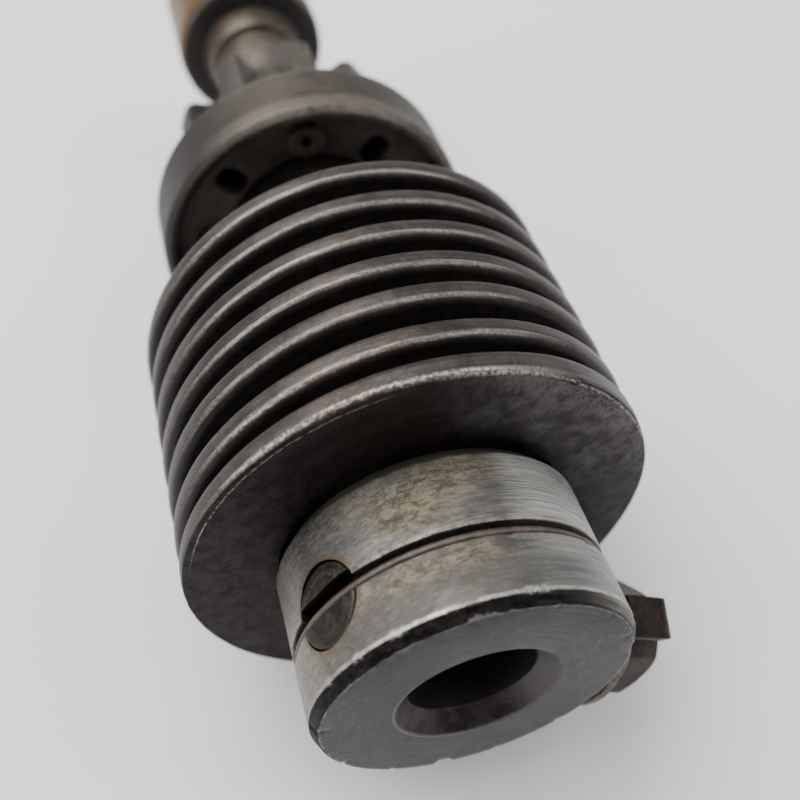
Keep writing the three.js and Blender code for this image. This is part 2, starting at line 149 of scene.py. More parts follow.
def fillet(points, closed, corner_steps):
    """Rounds (radius, depth, corner radius) points into (radius, depth, wear) points."""
    out = []
    count = len(points)
    for i, (r, depth, corner) in enumerate(points):
        if corner <= 0 or (not closed and i in (0, count - 1)):
            out.append((r, depth, 0.0))
            continue
        here = Vector((r, depth))
        before = Vector(points[i - 1][:2]) - here
        after = Vector(points[(i + 1) % count][:2]) - here
        before_length, after_length = before.length, after.length
        if before_length < 1e-6 or after_length < 1e-6:
            out.append((r, depth, 0.0))
            continue
        before /= before_length
        after /= after_length
        half = math.acos(max(-1, min(1, before.dot(after)))) / 2
        if half > math.radians(88):
            out.append((r, depth, 0.0))
            continue
        cutoff = min(corner / math.tan(half), before_length * 0.45, after_length * 0.45)
        arc_r = cutoff * math.tan(half)
        centre = here + (before + after).normalized() * (arc_r / math.sin(half))
        start = here + before * cutoff - centre
        end = here + after * cutoff - centre
        start_angle = math.atan2(start.y, start.x)
        end_angle = math.atan2(end.y, end.x)
        swing = (end_angle - start_angle + math.pi) % (2 * math.pi) - math.pi
        for k in range(corner_steps + 1):
            angle = start_angle + swing * (k / corner_steps)
            out.append((centre.x + arc_r * math.cos(angle),
                        centre.y + arc_r * math.sin(angle), 1.0))
    return out


def densify(profile, step, closed):
    out = []
    count = len(profile)
    for i in range(count if closed else count - 1):
        r0, depth0, wear0 = profile[i]
        r1, depth1, _ = profile[(i + 1) % count]
        parts = max(1, int(math.hypot(r1 - r0, depth1 - depth0) / step))
        for j in range(parts):
            t = j / parts
            wear = wear0 if j == 0 else 0.0
            out.append((r0 + (r1 - r0) * t, depth0 + (depth1 - depth0) * t, wear))
    if not closed:
        out.append(profile[-1])
    return out


def outline(points, step, closed=True, corner_steps=4):
    return densify(fillet(points, closed, corner_steps), step, closed)


def grid_faces(rows, columns, close_rows=True, close_columns=True):
    """Quads over a grid of vertices numbered row by row."""
    faces = []
    for i in range(rows if close_rows else rows - 1):
        j = (i + 1) % rows
        for k in range(columns if close_columns else columns - 1):
            l = (k + 1) % columns
            faces.append((i * columns + k, i * columns + l, j * columns + l, j * columns + k))
    return faces


def around_shaft(r, depth, angle):
    return r * math.cos(angle), depth, r * math.sin(angle)


def fixing_axes(angle):
    """Unit vectors outwards from the shaft, along it and across both."""
    outward = Vector((math.cos(angle), 0, math.sin(angle)))
    across = Vector((-math.sin(angle), 0, math.cos(angle)))
    return outward, Vector((0, 1, 0)), across


def around_fixing(fixing_angle):
    """Places (radius, height above the shaft's axis, angle) about the screw's or stud's axis."""
    outward, along, across = fixing_axes(fixing_angle)

    def place(r, height, angle):
        p = outward * height + along * (r * math.cos(angle)) + across * (r * math.sin(angle))
        return p.x, p.y + FIX_DEPTH, p.z
    return place


def revolve(profile, seg, place, ends="loop", shape=None):
    """Turns a profile, reshaped at each angle by `shape`; returns verts, faces and wear.

    ends: "loop" for a closed section, "open" for none, "axis" for a profile that starts and
    ends on the axis, each end becoming one vertex.
    """
    verts, wear = [], []
    for i in range(seg):
        angle = 2 * math.pi * i / seg
        for r, depth, worn in profile:
            if shape:
                r, depth, worn = shape(r, depth, worn, angle)
            verts.append(place(r, depth, angle))
            wear.append(worn)
    columns = len(profile)
    faces = grid_faces(seg, columns, close_columns=ends == "loop")
    if ends != "axis":
        return verts, faces, wear
    kept = [x for x in range(len(verts)) if 0 < x % columns < columns - 1]
    index = {old: new for new, old in enumerate(kept)}
    for first in range(0, len(verts), columns):
        index[first] = len(kept)
        index[first + columns - 1] = len(kept) + 1
    faces = [tuple(dict.fromkeys(index[x] for x in face)) for face in faces]
    caps = [place(r, depth, 0) for r, depth, _ in (profile[0], profile[-1])]
    return [verts[x] for x in kept] + caps, faces, [wear[x] for x in kept] + [0, 0]


def lathe(name, points, material, seg=160, step=1.2, ends="loop", corner_steps=4,
          shape=None, place=around_shaft):
    """points: (radius, depth or height, corner radius)."""
    profile = outline(points, step, ends == "loop", corner_steps)
    verts, faces, wear = revolve(profile, seg, place, ends, shape)
    return new_object(name, verts, faces, {"wear": wear}, material)


def sweep(name, rings, attributes, material, sharp=32.0):
    """Joins equal rings of (x, depth, z) points and caps both ends."""
    size = len(rings[0])
    last = (len(rings) - 1) * size
    faces = grid_faces(len(rings), size, close_rows=False)
    faces.append(tuple(range(size - 1, -1, -1)))
    faces.append(tuple(range(last, last + size)))
    verts = [p for ring in rings for p in ring]
    return new_object(name, verts, faces, attributes, material, sharp)


def radial_cylinder(radius, inner, outer, angle, seg):
    """A cutter standing on the shaft at FIX_DEPTH, from radius inner to outer."""
    bpy.ops.mesh.primitive_cylinder_add(vertices=seg, radius=radius * MM,
                                        depth=(outer - inner) * MM)
    ob = bpy.context.object
    outward = fixing_axes(angle)[0]
    centre = outward * ((inner + outer) / 2) * MM + Vector((0, world_y(FIX_DEPTH), 0))
    turn = outward.to_track_quat("Z", "Y").to_matrix().to_4x4()
    ob.matrix_world = Matrix.Translation(centre) @ turn
    return ob


def rivet_holes(front, rear=80):
    """Cutters along the shaft, one for each rivet."""
    cutters = []
    for angle in RIVET_ANGLES:
        bpy.ops.mesh.primitive_cylinder_add(vertices=40, radius=1.6 * MM,
                                            depth=(rear - front) * MM)
        ob = bpy.context.object
        centre = (RIVET_PITCH_R * math.cos(angle) * MM, world_y((front + rear) / 2),
                  RIVET_PITCH_R * math.sin(angle) * MM)
        ob.matrix_world = Matrix.Translation(centre) @ Matrix.Rotation(math.pi / 2, 4, "X")
        cutters.append(ob)
    return cutters


def box_cutter(size, r, angle, depth):
    """A box of size (outwards, along the shaft, across), centred at radius r."""
    bpy.ops.mesh.primitive_cube_add(size=1)
    ob = bpy.context.object
    axes = fixing_axes(angle)
    ob.matrix_world = (Matrix.Translation(axes[0] * r * MM + Vector((0, world_y(depth), 0)))
                       @ Matrix(axes).transposed().to_4x4()
                       @ Matrix.Diagonal((size[0] * MM, size[1] * MM, size[2] * MM, 1)))
    return ob


def cut(ob, tools, operation="DIFFERENCE"):
    for tool in tools:
        modifier = ob.modifiers.new("cut", "BOOLEAN")
        modifier.object = tool
        modifier.operation = operation
        modifier.solver = "EXACT"
    bake(ob)
    for tool in tools:
        mesh = tool.data
        bpy.data.objects.remove(tool)
        bpy.data.meshes.remove(mesh)


def add_bevel(ob, width, segments, angle=30):
    """width is in the mesh's own space, so for a unit cube it is a share of the side."""
    modifier = ob.modifiers.new("bevel", "BEVEL")
    modifier.width = width
    modifier.segments = segments
    modifier.limit_method = "ANGLE"
    modifier.angle_limit = math.radians(angle)
    modifier.use_clamp_overlap = True


# ------------------------------------------------------------------ shader helpers
class Signal:
    """A shader output that can be added, scaled and shaped like a number."""

    def __init__(self, graph, socket):
        self.graph = graph
        self.socket = socket

    def __add__(self, other):
        return self.graph.math("ADD", self, other)

    def __radd__(self, other):
        return self.graph.math("ADD", other, self)

    def __sub__(self, other):
        return self.graph.math("SUBTRACT", self, other)

    def __rsub__(self, other):
        return self.graph.math("SUBTRACT", other, self)

    def __mul__(self, other):
        return self.graph.math("MULTIPLY", self, other)

    def __abs__(self):
        return self.graph.math("ABSOLUTE", self)

    def max(self, other):
        return self.graph.math("MAXIMUM", self, other)

    def clamp(self):
        return self.graph.math("ADD", self, 0.0, use_clamp=True)

    def rise(self, lo, hi):
        """Smoothly 0 to 1 as the value goes from lo to hi."""
        inputs = {"Value": self, "From Min": lo, "From Max": hi}
        return self.graph.node("ShaderNodeMapRange", inputs, interpolation_type="SMOOTHSTEP")

    def fall(self, lo, hi):
        return 1.0 - self.rise(lo, hi)

    def band(self, centre, half, soft):
        """1 within half of centre, falling to 0 over soft."""
        return abs(self - centre).fall(half, half + soft)

    def coat(self, mask, rgb, strength=None):
        """This colour with rgb laid over it where the mask is 1."""
        if strength is not None:
            mask = mask * strength
        return self.graph.mix(mask, self, rgb)


class Graph:
    def __init__(self, tree):
        self.tree = tree

    def put(self, value, socket):
        if isinstance(value, Signal):
            self.tree.links.new(value.socket, socket)
            return
        if isinstance(value, tuple) and len(socket.default_value) == 4:
            value = (*value, 1.0)
        socket.default_value = value

    def node(self, kind, inputs, output=0, **properties):
        node = self.tree.nodes.new(kind)
        for key, value in properties.items():
            setattr(node, key, value)
        for key, value in inputs.items():
            self.put(value, node.inputs[key])
        return Signal(self, node.outputs[output])

    def math(self, operation, *values, use_clamp=False):
        return self.node("ShaderNodeMath", dict(enumerate(values)), operation=operation,
                         use_clamp=use_clamp)

    def split(self, vector):
        node = self.tree.nodes.new("ShaderNodeSeparateXYZ")
        self.put(vector, node.inputs[0])
        return [Signal(self, socket) for socket in node.outputs]

    def mix(self, mask, under, over):
        return self.node("ShaderNodeMix", {0: mask, 6: under, 7: over}, 2, data_type="RGBA")


class Material(Graph):
    """A material graph that works in millimetres; a seed moves its noise elsewhere."""

    def __init__(self, name, seed=None):
        self.material = bpy.data.materials.new(name)
        self.material.use_nodes = True
        super().__init__(self.material.node_tree)
        self.tree.nodes.clear()
        coords = self.node("ShaderNodeTexCoord", {}, "Object")
        self.local = self.node("ShaderNodeVectorMath", {0: coords, "Scale": 1 / MM},
                               operation="SCALE")
        self.place = self.local
        if seed is not None:
            offset = (seed * 17.3, seed * 5.1, seed * 9.7)
            self.place = self.node("ShaderNodeVectorMath", {0: self.local, 1: offset},
                                   operation="ADD")

    @functools.cached_property
    def axes(self):
        return self.split(self.local)

    @functools.cached_property
    def depth(self):
        return self.axes[1] + SHAFT_END

    @functools.cached_property
    def radius(self):
        x, _, z = self.axes
        return self.math("SQRT", x * x + z * z)

    @functools.cached_property
    def angle(self):
        x, _, z = self.axes
        return self.math("ARCTAN2", z, x)

    def sector(self, centre, half, soft):
        """1 near the angle centre about the shaft, 0 outside half + soft (degrees)."""
        facing = self.math("COSINE", self.angle - math.radians(centre))
        return facing.rise(math.cos(math.radians(half + soft)), math.cos(math.radians(half)))

    def fixing(self, angle):
        """Distances across, along the shaft and outwards, for the fixing at this angle."""
        x, _, z = self.axes
        across = x * -math.sin(angle) + z * math.cos(angle)
        outward = x * math.cos(angle) + z * math.sin(angle)
        return across, self.depth - FIX_DEPTH, outward

    def vector(self, x, y, z):
        return self.node("ShaderNodeCombineXYZ", {0: x, 1: y, 2: z})

    def noise(self, scale, detail, rough, distort=0.0, place=None):
        return self.node("ShaderNodeTexNoise", {
            "Vector": place or self.place, "Scale": scale, "Detail": detail,
            "Roughness": rough, "Distortion": distort})

    def turned(self, along, around, detail, rough, distort=0.0):
        """Noise with its own scale around the shaft, for turning marks and scratches."""
        cosine = self.math("COSINE", self.angle)
        sine = self.math("SINE", self.angle)
        place = self.vector(self.radius * along, self.depth * along,
                            cosine * (around * 9.0) + sine * (around * 13.0))
        return self.noise(1.0, detail, rough, distort, place)

    def cells(self, scale):
        return self.node("ShaderNodeTexVoronoi", {"Vector": self.place, "Scale": scale},
                         "Distance")

    def attribute(self, name):
        return self.node("ShaderNodeAttribute", {}, "Fac", attribute_name=name)

    def bump(self, height, strength, distance, under=None):
        inputs = {"Height": height, "Strength": strength, "Distance": distance * MM}
        if under:
            inputs["Normal"] = under
        return self.node("ShaderNodeBump", inputs)

    def finish(self, colour, rough, metal, normal=None, specular=0.5):
        inputs = {"Base Color": colour, "Roughness": rough, "Metallic": metal,
                  "Specular IOR Level": specular}
        if normal:
            inputs["Normal"] = normal
        surface = self.node("ShaderNodeBsdfPrincipled", inputs)
        self.node_output(surface)
        return self.material

    def node_output(self, surface):
        output = self.tree.nodes.new("ShaderNodeOutputMaterial")
        self.put(surface, output.inputs[0])


# ------------------------------------------------------------------ collar finish (linear colour)
# rust patches: centre angle, half angle, centre depth, half depth, amount
RUST_PATCHES = [
    (103, 6, 12.2, 1.5, 1.0), (91, 7, 13.7, 0.8, 0.9), (78, 8, 14.6, 0.4, 0.8),
    (112, 4, 13.6, 0.5, 0.5), (106, 6, 5.4, 0.7, 0.7), (92, 6, 4.9, 0.9, 0.8),
    (118, 8, 3.6, 1.2, 0.5), (84, 5, 3.2, 0.6, 0.35), (150, 9, 3.0, 1.8, 0.6),
    (-60, 30, 12.0, 3.0, 0.6), (230, 25, 4.0, 2.0, 0.5)]
# bright gouges behind the front chamfer: centre angle, softness in degrees
GOUGES = [(118.5, 2.5), (74, 4.0), (134, 2.0), (149, 1.6)]


def collar_face(m, cloud, mid, grit):
    """Even grey front face with a dull bloom, darker towards the upper rim."""
    face = m.mix((cloud * 0.6 + mid * 0.4).rise(lo=0.40, hi=0.62),
                 (0.038, 0.0350, 0.0345), (0.076, 0.0705, 0.0690))
    face = face.coat(m.sector(centre=178, half=40, soft=40), strength=0.75,
                     rgb=(0.0205, 0.0190, 0.0186))
    upper_rim = m.radius.rise(lo=9.0, hi=14.5) * 0.92
    face = face.coat(m.sector(centre=80, half=30, soft=60) * upper_rim,
                     rgb=(0.0205, 0.0190, 0.0186))
    face = face.coat(grit.rise(lo=0.52, hi=0.66), strength=0.35, rgb=(0.135, 0.130, 0.126))
    arc_place = m.vector(m.radius * 5.0, 0.0, m.math("SINE", m.angle) * 0.8)
    arcs = m.noise(scale=1.0, detail=4, rough=0.8, place=arc_place)
    face = face.coat(arcs.rise(lo=0.58, hi=0.68), strength=0.22, rgb=(0.20, 0.195, 0.19))
    rust = m.noise(scale=0.42, detail=6, rough=0.7, distort=1.0).rise(lo=0.58, hi=0.72)
    sides = m.sector(centre=190, half=40, soft=40).max(m.sector(centre=15, half=14, soft=20))
    return face.coat(rust * sides, strength=0.5, rgb=(0.105, 0.066, 0.038))


def collar_material():
    m = Material("collar_steel")
    x, _, z = m.axes
    cloud = m.noise(scale=0.13, detail=6, rough=0.62, distort=0.6)
    mid = m.noise(scale=0.55, detail=7, rough=0.66, distort=0.5)
    fine = m.noise(scale=3.4, detail=4, rough=0.62)
    grain = m.noise(scale=9.0, detail=2, rough=0.5)
    turn = m.turned(along=3.0, around=0.10, detail=5, rough=0.72)
    hair = m.turned(along=13.0, around=0.22, detail=3, rough=0.6)
    grit = m.turned(along=2.4, around=1.3, detail=6, rough=0.74, distort=0.4)
    drag = m.turned(along=7.0, around=0.9, detail=5, rough=0.75)
    on_face = m.depth.fall(lo=0.06, hi=0.22) * m.radius.rise(lo=8.1, hi=8.35)
    on_round = m.radius.rise(lo=15.7, hi=15.95)

    def ragged_depth(spread):
        return m.depth + (mid - 0.5) * spread

    base = (cloud * 0.32 + turn * 0.20) + (grit * 0.30 + drag * 0.18)
    colour = m.mix(base.rise(lo=0.43, hi=0.58), (0.064, 0.060, 0.054), (0.190, 0.173, 0.143))
    colour = colour.coat(drag.rise(lo=0.54, hi=0.68), strength=0.35, rgb=(0.285, 0.270, 0.238))
    colour = colour.coat(grit.fall(lo=0.34, hi=0.46), strength=0.55, rgb=(0.050, 0.046, 0.042))

    # cooler, darker patches of oxide
    blue = m.noise(scale=0.21, detail=6, rough=0.68, distort=1.4).rise(lo=0.46, hi=0.58)
    blue = blue.max(m.sector(centre=60, half=14, soft=14)
                    * ragged_depth(spread=5.0).rise(lo=8.6, hi=10.5))
    blue = blue.max(m.sector(centre=72, half=26, soft=18)
                    * (ragged_depth(spread=5.0).band(centre=4.4, half=1.6, soft=1.2) * 0.9))
    blue = blue * (turn + mid * 0.5).rise(lo=0.55, hi=0.80)
    oxide = m.mix(drag.rise(lo=0.44, hi=0.62), (0.058, 0.060, 0.061), (0.122, 0.122, 0.118))
    colour = colour.coat(blue, strength=0.70, rgb=oxide)

    # granular rust: pale ground with dark specks
    grains = m.turned(along=1.9, around=1.35, detail=7, rough=0.78, distort=0.6)
    speck = (grains * 0.8 + grain * 0.2).rise(lo=0.44, hi=0.56)
    patches = [m.sector(angle, half_angle, soft=10)
               * ragged_depth(spread=6.5).band(depth, half_depth, soft=1.6) * amount
               for angle, half_angle, depth, half_depth, amount in RUST_PATCHES]
    rust = functools.reduce(Signal.max, patches) * on_round
    colour = colour.coat(rust * (1.0 - speck), strength=0.60, rgb=(0.270, 0.228, 0.146))
    colour = colour.coat(rust * speck, strength=0.90, rgb=(0.052, 0.035, 0.018))

    # dark flecks, pale grit and ochre over the round
    flecks = m.noise(scale=1.7, detail=7, rough=0.80, distort=0.5).rise(lo=0.57, hi=0.66)
    colour = colour.coat(flecks * (on_round * 0.50), rgb=(0.040, 0.035, 0.030))
    pale = m.turned(along=3.1, around=1.7, detail=6, rough=0.80).rise(lo=0.57, hi=0.68)
    colour = colour.coat(pale * (on_round * 0.40), rgb=(0.270, 0.245, 0.200))
    ochre = m.noise(scale=0.30, detail=6, rough=0.7, distort=1.0).rise(lo=0.54, hi=0.66)
    ochre = ochre * fine.rise(lo=0.45, hi=0.62)
    colour = colour.coat(ochre * (on_round * 0.45), rgb=(0.190, 0.150, 0.085))

    # painted light on the left flank, a painted highlight on the upper right, a dark leading band
    # over the top and painted shade on the underside
    # painted light: the left side of the round is made paler
    left_painted_light = m.sector(centre=176, half=12, soft=20) * on_round
    colour = colour.coat(left_painted_light * (0.2 + grit.rise(lo=0.4, hi=0.6) * 0.4),
                         rgb=(0.270, 0.240, 0.210))
    # painted highlight on the upper right of the round
    bright = m.sector(centre=38, half=16, soft=22)
    bright = bright * (0.40 + m.depth.rise(lo=7.0, hi=9.5) * 0.60)
    colour = colour.coat(bright * on_round * drag.rise(lo=0.36, hi=0.58),
                         rgb=(0.47, 0.460, 0.430))
    leading = (ragged_depth(spread=3.0).fall(lo=3.6, hi=5.6) * on_round
               * m.sector(centre=96, half=34, soft=26))
    colour = colour.coat(leading * (0.35 + drag.fall(lo=0.42, hi=0.62) * 0.40),
                         rgb=(0.066, 0.063, 0.060))
    # painted shade on the underside of the round
    colour = colour.coat(m.sector(centre=-90, half=60, soft=50) * on_round, strength=0.35,
                         rgb=(0.070, 0.060, 0.050))
    colour = colour.coat(on_face, rgb=collar_face(m, cloud, mid, grit))

    # dirt in the front chamfer
    wobble = (m.noise(scale=1.3, detail=4, rough=0.6) - 0.5) * 0.22
    chamfer = ((m.depth + wobble).fall(lo=1.06, hi=1.20)
               * (m.radius + wobble).rise(lo=15.30, hi=15.42)
               * (0.25 + m.sector(centre=122, half=56, soft=32) * 0.75))
    dirt = m.mix(grit.rise(lo=0.42, hi=0.60), (0.0075, 0.0065, 0.006), (0.026, 0.023, 0.021))
    colour = colour.coat(chamfer, rgb=dirt)

    # bright bruised lines either side of the chamfer, with gouges in the rear one
    nick = m.noise(scale=0.9, detail=6, rough=0.75).rise(lo=0.42, hi=0.56)
    rear_line = ((m.depth + wobble).band(centre=1.32, half=0.07, soft=0.20)
                 * (on_round * (0.30 + nick * 0.7)))
    front_line = ((m.radius + wobble * 0.5).band(centre=15.24, half=0.02, soft=0.10)
                  * m.depth.fall(lo=0.12, hi=0.3) * nick)
    line = rear_line * (0.35 + m.sector(centre=95, half=30, soft=45) * 0.65)
    line = line.max(front_line * 0.45)
    for angle, soft in GOUGES:
        gouge = (m.sector(angle, soft * 0.4, soft)
                 * (m.depth + wobble * 2.0).band(centre=1.30, half=0.18, soft=0.30))
        line = line.max(gouge * m.noise(scale=2.2, detail=5, rough=0.8).rise(lo=0.42, hi=0.55))
    colour = colour.coat(line, strength=0.85, rgb=(0.40, 0.385, 0.36))

    # painted shade in the groove, and its rear lip
    # painted shade: the groove is coloured nearly black
    groove = (m.depth.band(centre=7.65, half=0.66, soft=0.05)
              * m.radius.fall(lo=15.75, hi=15.93))
    colour = colour.coat(groove, rgb=(0.010, 0.0075, 0.006))
    lip = m.depth.band(centre=8.5, half=0.12, soft=0.16) * (on_round * nick)
    colour = colour.coat(lip, strength=0.6, rgb=(0.26, 0.235, 0.20))

    # mouth of the bore, the bore and the edge round the mouth
    mouth = m.radius.fall(lo=8.02, hi=8.24)
    colour = colour.coat(mouth, rgb=m.mix(mid.rise(lo=0.4, hi=0.6), (0.026, 0.020, 0.019),
                                          (0.050, 0.041, 0.038)))
    colour = colour.coat(mouth * m.sector(centre=10, half=40, soft=40), strength=0.6,
                         rgb=(0.085, 0.078, 0.075))
    bore = m.radius.fall(lo=6.5, hi=6.75) * m.depth.rise(lo=1.7, hi=2.4)
    colour = colour.coat(bore, rgb=(0.052, 0.041, 0.045))
    mouth_edge = (m.radius.band(centre=8.32, half=0.04, soft=0.16)
                  * m.depth.fall(lo=0.1, hi=0.3)
                  * m.sector(centre=205, half=50, soft=25).max(
                      m.sector(centre=52, half=10, soft=10)))
    colour = colour.coat(mouth_edge, strength=0.5, rgb=(0.20, 0.165, 0.135))

    # rear chamfer
    rear = m.mix(turn.rise(lo=0.4, hi=0.6), (0.085, 0.074, 0.058), (0.150, 0.132, 0.105))
    colour = colour.coat(m.depth.rise(lo=15.7, hi=16.1), strength=0.75, rgb=rear)

    # brown ring round the screw pocket, and painted shade in the pocket
    across, along, outward = m.fixing(SCREW_ANGLE)
    from_screw = m.math("SQRT", across * across + along * along)
    screw_side = outward.rise(lo=8.0, hi=9.0)
    ring = ((from_screw + wobble * 0.8).band(centre=4.12, half=0.14, soft=0.38) * screw_side
            * m.noise(scale=0.8, detail=4, rough=0.6).rise(lo=0.36, hi=0.56))
    colour = colour.coat(ring, strength=0.75, rgb=(0.105, 0.062, 0.036))
    # painted shade: the pocket round the screw head is coloured nearly black
    colour = colour.coat(from_screw.fall(lo=3.98, hi=4.03) * screw_side,
                         rgb=(0.012, 0.009, 0.007))

    # slanting scratches
    scratch_place = m.vector(x * 0.9, (m.depth + z * 0.6) * 6.0, z * 0.7)
    scratches = m.noise(scale=1.0, detail=5, rough=0.8, place=scratch_place)
    colour = colour.coat(scratches.rise(lo=0.66, hi=0.70), strength=0.35,
                         rgb=(0.30, 0.285, 0.26))

    # roughness and metal: base value, then what each mark adds or takes away
    rough = 0.47 + (cloud - 0.5) * 0.3 + (hair - 0.5) * 0.22 + rust * 0.25
    rough = ((rough - line * 0.15).clamp() + chamfer * 0.2).clamp()
    metal = 0.72 - rust * speck * 0.45
    metal = (metal + groove.max(chamfer) * 0.25).clamp()
    pits = m.cells(scale=2.2).rise(lo=0.0, hi=0.25)
    normal = m.bump(hair * 0.65 + turn * 0.35, strength=0.30, distance=0.06)
    normal = m.bump(fine * 0.7 + pits * 0.3, strength=0.22, distance=0.12, under=normal)
    normal = m.bump(rust * fine, strength=0.35, distance=0.25, under=normal)
    return m.finish(colour, rough, metal, normal)


# ------------------------------------------------------------------ spring finish
def spring_face(m, cloud, mid, fine):
    """The ground front face of the first coil."""
    x, _, z = m.axes
    smear = m.turned(along=0.55, around=0.05, detail=6, rough=0.68, distort=0.8)
    face = m.mix((smear * 0.6 + mid * 0.4).rise(lo=0.40, hi=0.62),
                 (0.0125, 0.0098, 0.0092), (0.0400, 0.0310, 0.0285))
    # left side, top and a paler spot on the upper right
    left = m.mix(mid.rise(lo=0.36, hi=0.64), (0.0110, 0.0086, 0.0082), (0.0370, 0.0300, 0.0285))
    face = face.coat(m.sector(centre=178, half=26, soft=42), strength=0.75, rgb=left)
    face = face.coat(m.sector(centre=96, half=16, soft=20), strength=0.40,
                     rgb=(0.0460, 0.0345, 0.0320))
    face = face.coat(m.sector(centre=57, half=10, soft=16) * m.radius.rise(lo=16.0, hi=19.0),
                     strength=0.45, rgb=(0.1050, 0.0940, 0.0930))
    # brighter right side, dark again below it
    right = (m.sector(centre=30, half=40, soft=22)
             * (m.radius + (cloud - 0.5) * 9.0).rise(lo=15.0, hi=19.0))
    right_colour = m.mix((cloud * 0.5 + mid * 0.5).rise(lo=0.40, hi=0.60),
                         (0.0330, 0.0275, 0.0275), (0.1120, 0.1010, 0.1010))
    face = face.coat(right, strength=0.85, rgb=right_colour)
    face = face.coat(m.sector(centre=-14, half=16, soft=24), strength=0.62,
                     rgb=(0.0260, 0.0215, 0.0210))
    # worn rim, scratches, brown rub and chalky marks
    worn = (m.sector(centre=40, half=26, soft=14)
            * (m.radius + (mid - 0.5) * 4.0).rise(lo=21.5, hi=24.0))
    face = face.coat(worn * fine.rise(lo=0.42, hi=0.6), strength=0.55,
                     rgb=(0.15, 0.140, 0.132))
    scratch_place = m.vector((x + z * 0.35) * 0.5, (z - x * 0.35) * 7.0, m.depth)
    scratches = m.noise(scale=1.0, detail=5, rough=0.85, place=scratch_place)
    face = face.coat(scratches.rise(lo=0.68, hi=0.72), strength=0.5, rgb=(0.16, 0.145, 0.13))
    rub = m.noise(scale=0.32, detail=6, rough=0.74, distort=1.2).rise(lo=0.56, hi=0.70)
    face = face.coat(rub, strength=0.55, rgb=(0.030, 0.0165, 0.0115))
    chalk = m.noise(scale=0.8, detail=7, rough=0.8, distort=0.8).rise(lo=0.58, hi=0.70)
    chalk = chalk * (m.sector(centre=170, half=22, soft=20) * m.radius.rise(lo=21.0, hi=23.5))
    return face.coat(chalk, strength=0.6, rgb=(0.110, 0.104, 0.102))


